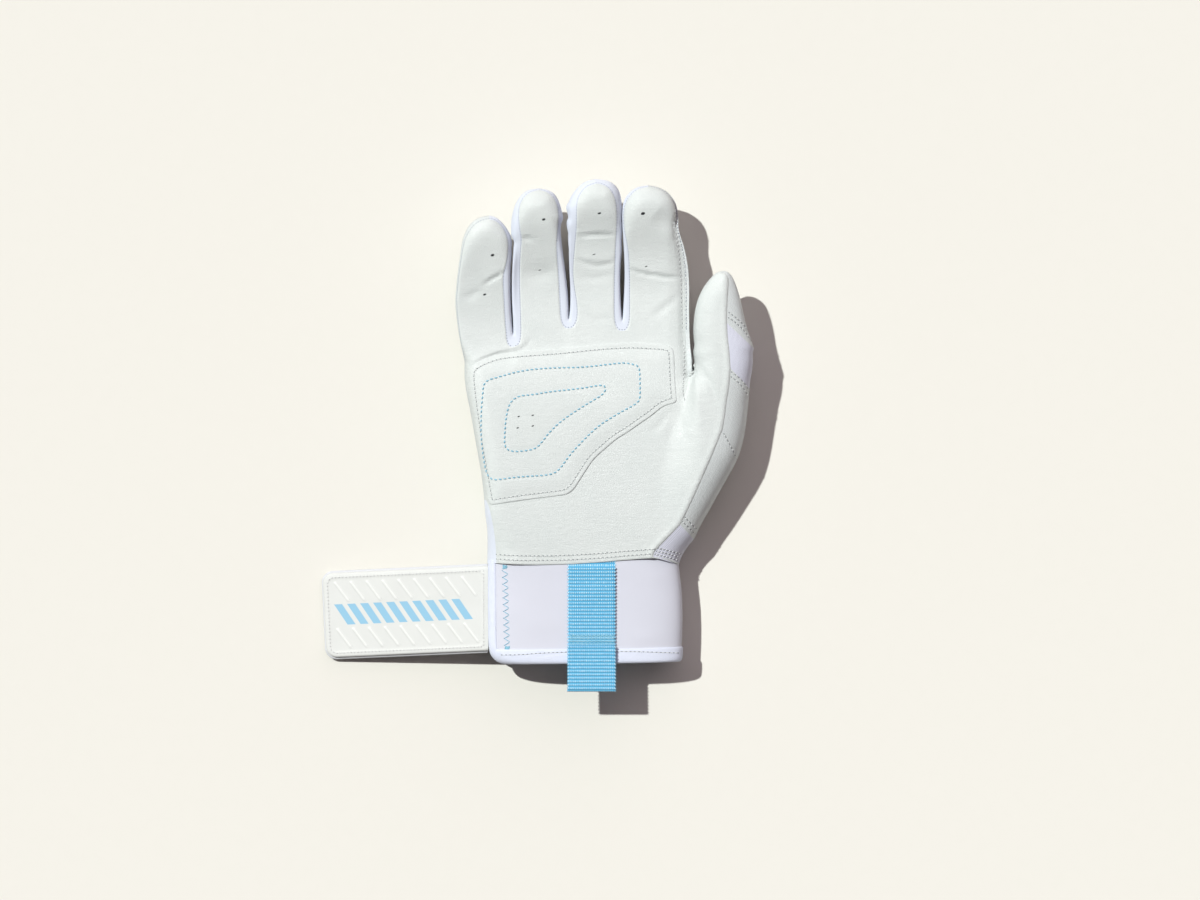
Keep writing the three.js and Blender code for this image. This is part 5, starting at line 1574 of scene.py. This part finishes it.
def strap_layer(start, end, half, corner, height, spacing, slant=0.0):
    """A net on the strap, where height gives how far up each place stands."""
    points, faces = patch(plate_outline(start, end, half, corner, slant), spacing)
    out, side = points.T
    return Layer(strap_point(out, side, height(out, side)), faces, points / MM).facing(SKYWARD)


STRAP_BEND = ("strap_near", "strap_far", strap_point(17 * MM, 0, 0), strap_point(25 * MM, 0, 0))
ANCHOR_BEND = ("root", "strap_near", strap_point(-3 * MM, 0, 0), strap_point(0.5 * MM, 0, 0))
print("the strap drops by", math.degrees(STRAP_DROP), "degrees")

# %% The elastic band
BASE_START, BASE_CORNER, BASE_NET = -1.4 * MM, 5.8 * MM, 1.8 * MM
BASE_THICKNESS, BASE_EDGE, BASE_SHELL = 1.6 * MM, (0.35, 0.65, 1.0 * MM), 0.9
PATCH_START, PATCH_SLANT = -2.0 * MM, 2.0 * MM


def edged(gap, low, rise, roll):
    """The share of a plate's height: low at its edge, and full from a little way in."""
    return low + rise * rounding(gap / roll)


def base_height(out, side):
    return BASE_THICKNESS * edged(rounded_gap(out, side, STRAP_LENGTH, STRAP_HALF, BASE_CORNER), *BASE_EDGE)


base = strap_layer(BASE_START, STRAP_LENGTH, STRAP_HALF, BASE_CORNER, base_height, BASE_NET, PATCH_SLANT)
piece("strap_base_band", base.thick(BASE_THICKNESS * BASE_SHELL), STRAP_BASE, "strap_base",
      nodes=["strap_base_near", "strap_base_far"], blend=STRAP_BEND)

# %% The rubber patch
PATCH_THICKNESS, PATCH_EDGE, PATCH_SHELL = 1.8 * MM, (0.3, 0.7, 0.9 * MM), 0.55
PATCH_STEP, PATCH_CORNER, PATCH_NET = 1.0 * MM, 5.4 * MM, 0.55 * MM
PATCH_END, PATCH_HALF = STRAP_LENGTH - PATCH_STEP, STRAP_HALF - PATCH_STEP
BEAD_INSET, BEAD_WIDTH, BEAD_RISE = 2.2 * MM, 0.5 * MM, 0.10 * MM
SUNK, SUNK_FROM, SUNK_TO = 0.05 * MM, 0.2 * MM, 0.9 * MM
RIB_LONG, RIB_WIDE, RIB_RISE = 11.3 * MM, 1.2 * MM, 0.28 * MM
RIB_COUNT, RIB_PITCH, RIB_LEAN = 9, 7.8 * MM, math.radians(35)
RIB_ROWS = (-11.2 * MM, 11.2 * MM)
RIB_FIRST = STRAP_LENGTH - 10.3 * MM
RIB_FOOT = (-0.25 * MM, 0.35 * MM)


def rib_height(out, side):
    """One slanting rib round the place 0, 0."""
    along = np.cos(RIB_LEAN) * side - np.sin(RIB_LEAN) * out
    across = np.sin(RIB_LEAN) * side + np.cos(RIB_LEAN) * out
    reach = np.maximum(np.abs(along) - RIB_LONG / 2 + RIB_WIDE / 2, 0)
    return RIB_RISE * ramp(RIB_WIDE / 2 - np.hypot(reach, across), *RIB_FOOT)


def patch_height(out, side):
    gap = rounded_gap(out, side, PATCH_END, PATCH_HALF, PATCH_CORNER)
    top = BASE_THICKNESS + PATCH_THICKNESS * edged(gap, *PATCH_EDGE)
    near_end = out - (PATCH_START - PATCH_SLANT * (PATCH_HALF - side) / (2 * PATCH_HALF))
    gap = np.minimum(gap, rounded_gap(-near_end, side, 0.0, PATCH_HALF, PATCH_CORNER))
    top += BEAD_RISE * np.exp(-((gap - BEAD_INSET) / BEAD_WIDTH) ** 2)
    top -= SUNK * ramp(gap, BEAD_INSET + SUNK_FROM, BEAD_INSET + SUNK_TO)
    for number in range(RIB_COUNT):
        for row in RIB_ROWS:
            top += rib_height(out - (RIB_FIRST - number * RIB_PITCH), side - row)
    return top


rubber_patch = strap_layer(PATCH_START, PATCH_END, PATCH_HALF, PATCH_CORNER, patch_height, PATCH_NET,
                           PATCH_SLANT)
piece("strap_rubber_patch", rubber_patch.thick(PATCH_THICKNESS * PATCH_SHELL), STRAP_RUBBER, "strap_rubber",
      nodes=["strap_patch_near", "strap_patch_far"], blend=STRAP_BEND)

# %% Hook pad under the strap
HOOK_SPAN = (STRAP_LENGTH - 47 * MM, STRAP_LENGTH - 3 * MM)
HOOK_HALF, HOOK_CORNER = STRAP_HALF - 3 * MM, 2 * MM
HOOK_DROP, HOOK_THICKNESS = 0.25 * MM, 0.95 * MM

hooks = strap_layer(*HOOK_SPAN, HOOK_HALF, HOOK_CORNER, lambda out, side: 0 * out - HOOK_DROP, BASE_NET)
piece("hook_pad_cloth", hooks.thick(HOOK_THICKNESS), HOOKS, "hook_and_loop", "strap_far", ["hook_pad"])

# %% The strap's sewn end
LIP_ROWS = np.linspace(-14 * MM, 0.8 * MM, 12)
LIP_WIDE, LIP_DEPTH, LIP_SHELL, LIP_SLOPE = 0.93, 0.9, 0.8, 0.1
LIP_COLUMNS = np.linspace(-STRAP_HALF * LIP_WIDE, STRAP_HALF * LIP_WIDE, 24)


def lip_point(r, c):
    """Past the slit the lip follows the strap, and before it the lip runs into the cuff."""
    inward = -np.minimum(r, 0)
    return (strap_point(np.maximum(r, 0), c, BASE_THICKNESS * LIP_DEPTH)
            + np.stack([inward, 0 * r, inward * LIP_SLOPE], -1))


lip = surface_grid(LIP_ROWS, LIP_COLUMNS, lip_point).facing(SKYWARD)
piece("strap_anchor_band", lip.thick(BASE_THICKNESS * LIP_SHELL), STRAP_BASE, "strap_base",
      nodes=["strap_anchor"], blend=ANCHOR_BEND)

# %% [markdown]
# ## Sewing
#
# A lockstitch shows as a row of short thread arcs, with a shaded needle hole between each two. Every arc here is
# a small bent tube that starts and ends inside the leather, and follows the leather's slope. The rows are drawn
# as places in the picture and dropped onto the finished pieces.

# %% Thread on a surface
PITCH, THREAD, THREAD_SHARE = 2.05 * MM, 0.26 * MM, 0.56
THREAD_RISE, THREAD_SINK = 0.18 * MM, 0.22 * MM
THREAD_STATIONS = np.array([-1, -0.72, -0.25, 0.25, 0.72, 1])
THREAD_SIDES, THREAD_TAPER = 6, 1.05
HOLE_SIDES, HOLE_SIZE, HOLE_OFF = 8, (0.95 * MM, 0.56 * MM), 0.05 * MM
CAST_HEIGHT = 0.2
LINE_STEP = 0.5 * MM


class Ground:
    """The upper side of finished pieces, to lay thread on."""

    def __init__(self, *names):
        points, faces = [], []
        for name in names:
            mesh = bpy.data.objects[name].data
            faces += [tuple(v + len(points) for v in f.vertices) for f in mesh.polygons]
            points += [v.co.copy() for v in mesh.vertices]
        self.tree = BVHTree.FromPolygons(points, faces)

    def drop(self, spots):
        """The surface's places and normals straight below a list of places."""
        hits = [self.tree.ray_cast((x, y, CAST_HEIGHT), (0, 0, -1)) for x, y in spots]
        found = np.array([hit[0] is not None for hit in hits])
        places = np.array([tuple(hit[0] or (0, 0, 0)) for hit in hits])
        normals = np.array([tuple(hit[1] or (0, 0, 1)) for hit in hits])
        return places, normals * np.sign(normals[:, 2:]), found


def arcs(starts, ends, normals, width, rise, sink):
    """Bent tubes from starts to ends, as one layer."""
    middle, half = (starts + ends) / 2, (ends - starts) / 2
    side = unit(np.cross(half, normals))
    s = THREAD_STATIONS[None, :, None]
    angle = np.linspace(0, 2 * np.pi, THREAD_SIDES, endpoint=False)
    lift = (rise + sink) * (1 - s ** 2) - sink
    spine = middle[:, None] + half[:, None] * s + normals[:, None] * lift
    radius = (width * np.sqrt(THREAD_TAPER - s ** 2))[..., None]
    ring = side[:, None, None] * np.cos(angle)[:, None] + normals[:, None, None] * np.sin(angle)[:, None]
    points = spine[:, :, None] + ring * radius
    count, size = len(middle), len(THREAD_STATIONS) * THREAD_SIDES
    tube = grid_faces(len(THREAD_STATIONS), THREAD_SIDES, closed=True)
    tube += [tuple(range(THREAD_SIDES))[::-1], tuple(range(size - THREAD_SIDES, size))]
    faces = [tuple(v + k * size for v in f) for k in range(count) for f in tube]
    along = np.linalg.norm(half, axis=1)[:, None, None] * s / MM + np.arange(count)[:, None, None]
    flat = np.stack(np.broadcast_arrays(along, (angle * width / MM)[None, None]), -1)
    return Layer(points.reshape(-1, 3), faces, flat.reshape(-1, 2))


def discs(places, normals, directions, length, width, off=HOLE_OFF):
    """Small oval faces that lie on a surface, as one layer."""
    along = unit(directions - normals * (directions * normals).sum(1, keepdims=True))
    side = np.cross(normals, along)
    angle = np.linspace(0, 2 * np.pi, HOLE_SIDES, endpoint=False)[None, :, None]
    rim = along[:, None] * np.cos(angle) * length / 2 + side[:, None] * np.sin(angle) * width / 2
    points = (places + normals * off)[:, None] + rim
    faces = [tuple(range(k * HOLE_SIDES, (k + 1) * HOLE_SIDES)) for k in range(len(places))]
    flat = points[..., :2] / MM
    return Layer(points.reshape(-1, 3), faces, flat.reshape(-1, 2))


def merged(layers):
    """Several layers as one, without joining any points."""
    faces, base = [], 0
    for layer in layers:
        faces += [tuple(v + base for v in f) for f in layer.faces]
        base += len(layer.points)
    return Layer(np.concatenate([layer.points for layer in layers]), faces,
                 np.concatenate([layer.flat for layer in layers]))


# %% Rows of stitches
def turned(directions, normals, lean):
    """Directions turned by an angle on the surface."""
    return directions * math.cos(lean) + np.cross(normals, directions) * math.sin(lean)


def sew(name, ground, lines, finish, holes, slot, body=None, blend=None, nodes=(), pitch=PITCH,
        length=THREAD_SHARE, width=THREAD, lean=0.0, hole_size=HOLE_SIZE):
    """Sews along lines: thread arcs as one piece, and the needle holes between them, as flat discs of painted
    shade, as another.
    """
    threads, hole_shades = [], []
    for line in lines:
        count = max(1, int(round(lengths(line)[-1] / pitch)))
        places, normals, found = ground.drop(resample(line, 2 * count + 1))
        ahead = unit(np.gradient(places, axis=0))
        keep = found[1::2] & found[:-1:2] & found[2::2]
        centre, normal, forward = places[1::2][keep], normals[1::2][keep], ahead[1::2][keep]
        reach = turned(forward, normal, lean) * pitch * length / 2
        threads.append(arcs(centre - reach, centre + reach, normal, width, THREAD_RISE, THREAD_SINK))
        between = found[::2]
        across = turned(ahead[::2], normals[::2], lean)[between]
        hole_shades.append(discs(places[::2][between], normals[::2][between], across, *hole_size))
    if finish:
        piece(name + "_thread", merged(threads), finish, slot, body, nodes, blend)
    if holes:
        piece(name + "_needle_holes", merged(hole_shades), holes, slot, body, (), blend)


def sew_white(name, grounds, rows, slot, body=None, **choices):
    """White stitches along rows of picture points, on the named pieces."""
    lines = [picture_line(row) for row in rows]
    sew(name, Ground(*grounds), lines, WHITE_THREAD, WHITE_HOLE_SHADE, slot, body, **choices)


def picture_line(points):
    """A soft line through picture points, evenly spaced."""
    line = soften(place(points), 2)
    return resample(line, int(lengths(line)[-1] / LINE_STEP) + 2)


# %% Thread on the overlay
BLUE_PITCH, BLUE_WIDTH, BLUE_SHARE = 2.2 * MM, 0.36 * MM, 0.78
RIM_LEAN, BLUE_LEAN = math.radians(-22), math.radians(-14)

pad_ground = Ground("palm_overlay_pad")
ahead = unit(np.roll(overlay_outline, -1, 0) - np.roll(overlay_outline, 1, 0))
rim_line = overlay_outline + np.stack([-ahead[:, 1], ahead[:, 0]], 1) * -RIM_STITCH_INSET
gap = nearest(rim_line, np.concatenate([overlay_outline, overlay_outline[:1]]))[0]
rim_line = rim_line[gap > RIM_STITCH_INSET * ROW_CLEARANCE]
rim_line = np.concatenate([rim_line, rim_line[:1]])
sew("overlay_rim", pad_ground, [rim_line], WHITE_THREAD, WHITE_HOLE_SHADE, "front_leather", "root", lean=RIM_LEAN)
for loop, line in (("_outer", outer_quilt), ("_inner", inner_quilt)):
    sew("quilt" + loop, pad_ground, [line], BLUE_THREAD, None, "blue_thread", "root",
        nodes=["quilt_thread" + loop], lean=BLUE_LEAN, width=BLUE_WIDTH, pitch=BLUE_PITCH, length=BLUE_SHARE)

# %% Thread round the heel and the thumb
HEM_LINES = [[(x, y - up) for x, y in HEEL_LINE[::-1]] for up in (4.2, 8.8)]
CAP_LINES = [[(728.5, 313.5), (736, 319), (744, 326.5), (749, 333)],
             [(728, 318.6), (736, 324), (744, 332), (750.6, 341)]]
UPPER_LINES = [[(731, 372.6), (738, 377.6), (745, 385), (749, 392)],
               [(730.6, 377.4), (737, 382), (744, 390), (748, 397)]]
LOWER_LINES = [[(723.4, 434), (730, 446), (736.6, 459)],
               [(682, 521), (689, 528), (696, 535)],
               [(684.6, 517), (692, 525), (699, 531)]]
GUSSET_LINES = [[(655 + side, 554 - up), (668 + side, 557 - up), (681 + side, 561 - up)]
                for side, up in ((0, 0), (1.5, 3), (3, 6))]

sew_white("palm_hem", ["palm_hide"], HEM_LINES, "front_leather", "root", lean=math.radians(-18))
sew_white("thumb_cap", ["thumb_cap"], CAP_LINES, "back_leather", blend=BENDS["thumb"], lean=math.radians(-12))
sew_white("thumb_panel", ["thumb_panel_upper", "thumb_knit"], UPPER_LINES, "back_leather", "root")
sew_white("thumb_side", ["thumb_panel_lower"], LOWER_LINES, "back_leather", "root")
sew_white("gusset_hem", ["wrist_knit"], GUSSET_LINES, "knit", "root", pitch=1.7 * MM, lean=math.radians(60),
          hole_size=(1.2 * MM, 0.45 * MM))

# %% Thread along the index finger's flat seam
SEAM_THREAD, SEAM_HOLES = 0.2 * MM, (0.85 * MM, 0.3 * MM)
INDEX_LINES = [[(674.6, 210), (675, 222), (675.8, 232), (677.4, 246), (679.2, 260), (680.4, 272), (681.2, 290),
                (681.5, 305), (682, 320), (683.2, 345)],
               [(677.8, 234), (681.2, 246), (684, 260), (685.4, 273), (686, 290), (685.8, 306), (686, 330),
                (686.4, 345)]]
CROTCH_LINES = [[(683.6, 346), (684.2, 360), (683.2, 380), (682.4, 392), (684.5, 400)]]

sew_white("index_seam", ["index_front_hide", "index_back_hide"], INDEX_LINES, "front_leather",
          blend=BENDS["index"], width=SEAM_THREAD, hole_size=SEAM_HOLES)
sew_white("crotch_seam", ["palm_hide", "back_panel_hide"], CROTCH_LINES, "front_leather", "root",
          lean=math.radians(-16), hole_size=SEAM_HOLES)

# %% Fine holes along the leather's edges
# each edge hole is a small flat disc of painted shade
EDGE_PITCH, EDGE_INSET, EDGE_HOLE = 1.35 * MM, 0.45 * MM, (0.75 * MM, 0.42 * MM)
for body in FINGERS:
    outer, inner = wall_rows(*finger_sides(body))
    names = [f"{body}_wall_{side}" for side in WALL_SIDES[body]] + [body + "_back_hide", body + "_front_hide"]
    sew(body + "_edge", Ground(*names), [inner + unit(outer - inner) * EDGE_INSET], None, EDGE_HOLE_SHADE,
        "stretch_fabric", blend=BENDS[body], pitch=EDGE_PITCH, hole_size=EDGE_HOLE)

# %% [markdown]
# ## Zigzag on the cuff
#
# The strap's end is sewn inside the cuff by a zigzag in blue thread, with a dense bar tack at both ends. Here
# each leg of the zigzag is one thread arc, and a bar tack is a heap of crossing ones.

# %% Zigzag and bar tacks
ZIGZAG_TOP, ZIGZAG_END = (502.6, 570.5), (504.6, 645.0)
ZIGZAG_WIDTH, ZIGZAG_LEGS, ZIGZAG_THREAD = 5.8, 22, 0.18 * MM
LEG_RISE, LEG_SINK = 0.22 * MM, 0.12 * MM
TACK_WANDER, TACK_TURN, TACK_STRIDE = 0.4, 2.4, 7
TIP_HOLE, TIP_HOLE_OFF, TIP_HOLE_WAY = (0.7 * MM, 0.4 * MM), 0.12 * MM, [1.0, -0.6, 0]
cuff_ground = Ground("cuff_front_cloth", "pull_tab_webbing")


def legs(ends, width=ZIGZAG_THREAD):
    """Thread that runs from picture point to picture point, and those places on the cuff."""
    places, normals, _ = cuff_ground.drop(place(ends))
    middles = unit(normals[:-1] + normals[1:])
    return arcs(places[:-1], places[1:], middles, width, LEG_RISE, LEG_SINK), places, normals


def tack(x, y, wide, tall, turns):
    """A heap of thread: many short legs to and fro."""
    ends = [(x + wide * (0.5 if n % 2 else -0.5) + TACK_WANDER * math.sin(n * TACK_TURN),
             y + tall * (((n * TACK_STRIDE) % turns) / turns - 0.5)) for n in range(turns)]
    return legs(ends)[0]


tips = []
for number in range(ZIGZAG_LEGS + 1):
    share = number / ZIGZAG_LEGS
    x, y = (top + (end - top) * share for top, end in zip(ZIGZAG_TOP, ZIGZAG_END))
    tips.append((x + ZIGZAG_WIDTH * (number % 2), y))
zigzag, places, normals = legs(tips)
heaps = [zigzag, tack(505, 567, 5.2, 5.0, 17), tack(507.4, 648.4, 5.8, 6.4, 19)]
piece("zigzag_blue_thread", merged(heaps), BLUE_THREAD, "blue_thread", "root", ["zigzag_thread"])
# painted shade at the zigzag's left tips, where the thread goes into the cuff
left, left_normals = places[::2], normals[::2]
tip_hole_shade = discs(left, left_normals, np.tile(TIP_HOLE_WAY, (len(left), 1)), *TIP_HOLE, TIP_HOLE_OFF)
piece("zigzag_needle_holes", tip_hole_shade, BLUE_HOLE_SHADE, "blue_thread", "root")

# %% Bar tack where the pull tab's loop begins
TAB_TACK_TOP, TAB_TACK_ROWS, TAB_TACK_DROP = 635.5, 5, 2.5
TAB_TACK_LEFT, TAB_TACK_LEGS, TAB_TACK_STEP, TAB_TACK_HALF = 569.5, 23, 2.05, 1.1
TAB_THREAD = 0.22 * MM
LIGHT_BLUE_THREAD = thread("light_blue_thread", (0.46, 0.86, 1.0))

tacks = []
for row in range(TAB_TACK_ROWS):
    y = TAB_TACK_TOP + row * TAB_TACK_DROP
    ends = [(TAB_TACK_LEFT + TAB_TACK_STEP * n, y + (TAB_TACK_HALF if n % 2 else -TAB_TACK_HALF))
            for n in range(TAB_TACK_LEGS)]
    tacks.append(legs(ends, TAB_THREAD)[0])
piece("pull_tab_tack_thread", merged(tacks), LIGHT_BLUE_THREAD, "webbing", "root")

# %% Thread on the bindings and the strap
BINDING_LINES = [[(502, 654.6), (520, 654.4), (540, 652.6), (566, 651.6)],
                 [(617.5, 651), (640, 651.2), (660, 652), (678, 652.8)]]
sew_white("hem", ["hem_binding_tape", "slit_binding_tape"], BINDING_LINES, "binding", "root",
          width=SEAM_THREAD, hole_size=(1.05 * MM, 0.46 * MM))

STRAP_PITCH, STRAP_THREAD_UP, BEAD_SLANT = 1.7 * MM, 3 * MM, 0.9
STRAP_THREAD = thread("strap_thread", (0.95, 0.96, 0.95))
bead = plate_outline(PATCH_START + BEAD_INSET, PATCH_END - BEAD_INSET, PATCH_HALF - BEAD_INSET,
                     PATCH_CORNER - BEAD_INSET, PATCH_SLANT * BEAD_SLANT)
bead = np.concatenate([bead, bead[:1]])
spots = strap_point(bead[:, 0], bead[:, 1], STRAP_THREAD_UP)[:, :2]
sew("strap_bead", Ground("strap_rubber_patch"), [spots], STRAP_THREAD, None, "strap_rubber", blend=STRAP_BEND,
    pitch=STRAP_PITCH)

# %% [markdown]
# ## Air holes
#
# The palm and every finger have small punched air holes. They are shaded ovals that lie just over the leather.

# %% Air holes
HOLES = {
    # place in picture points, then length and width in mm
    "pinky_front_hide": [(493, 256, 1.9, 1.2), (485, 295, 1.7, 0.9)],
    "ring_front_hide": [(544, 220.7, 1.8, 1.1), (540, 270.5, 1.4, 0.5)],
    "middle_front_hide": [(599.4, 214.5, 1.8, 0.9), (594, 255, 1.6, 0.5)],
    "index_front_hide": [(642.7, 214.8, 2.1, 1.4), (646, 267, 1.4, 0.5)],
    "palm_overlay_pad": [(519, 416.6, 1.3, 0.6), (533, 415.4, 1.3, 0.6), (518, 428, 1.3, 0.6),
                         (533, 426, 1.3, 0.6)],
}
HOLE_WAY = [0.94, 0.34, 0]
# each air hole is a flat dark oval of painted shade, the shaded inside of the hole
for name, spots in HOLES.items():
    places, normals, _ = Ground(name).drop(place([spot[:2] for spot in spots]))
    length, width = (np.array([spot[k] for spot in spots])[:, None, None] * MM for k in (2, 3))
    body = name.split("_")[0]
    piece(body + "_air_hole_shade", discs(places, normals, np.tile(HOLE_WAY, (len(spots), 1)), length, width),
          AIR_HOLE_SHADE, "front_leather", None if body in BENDS else "root", (), BENDS.get(body))
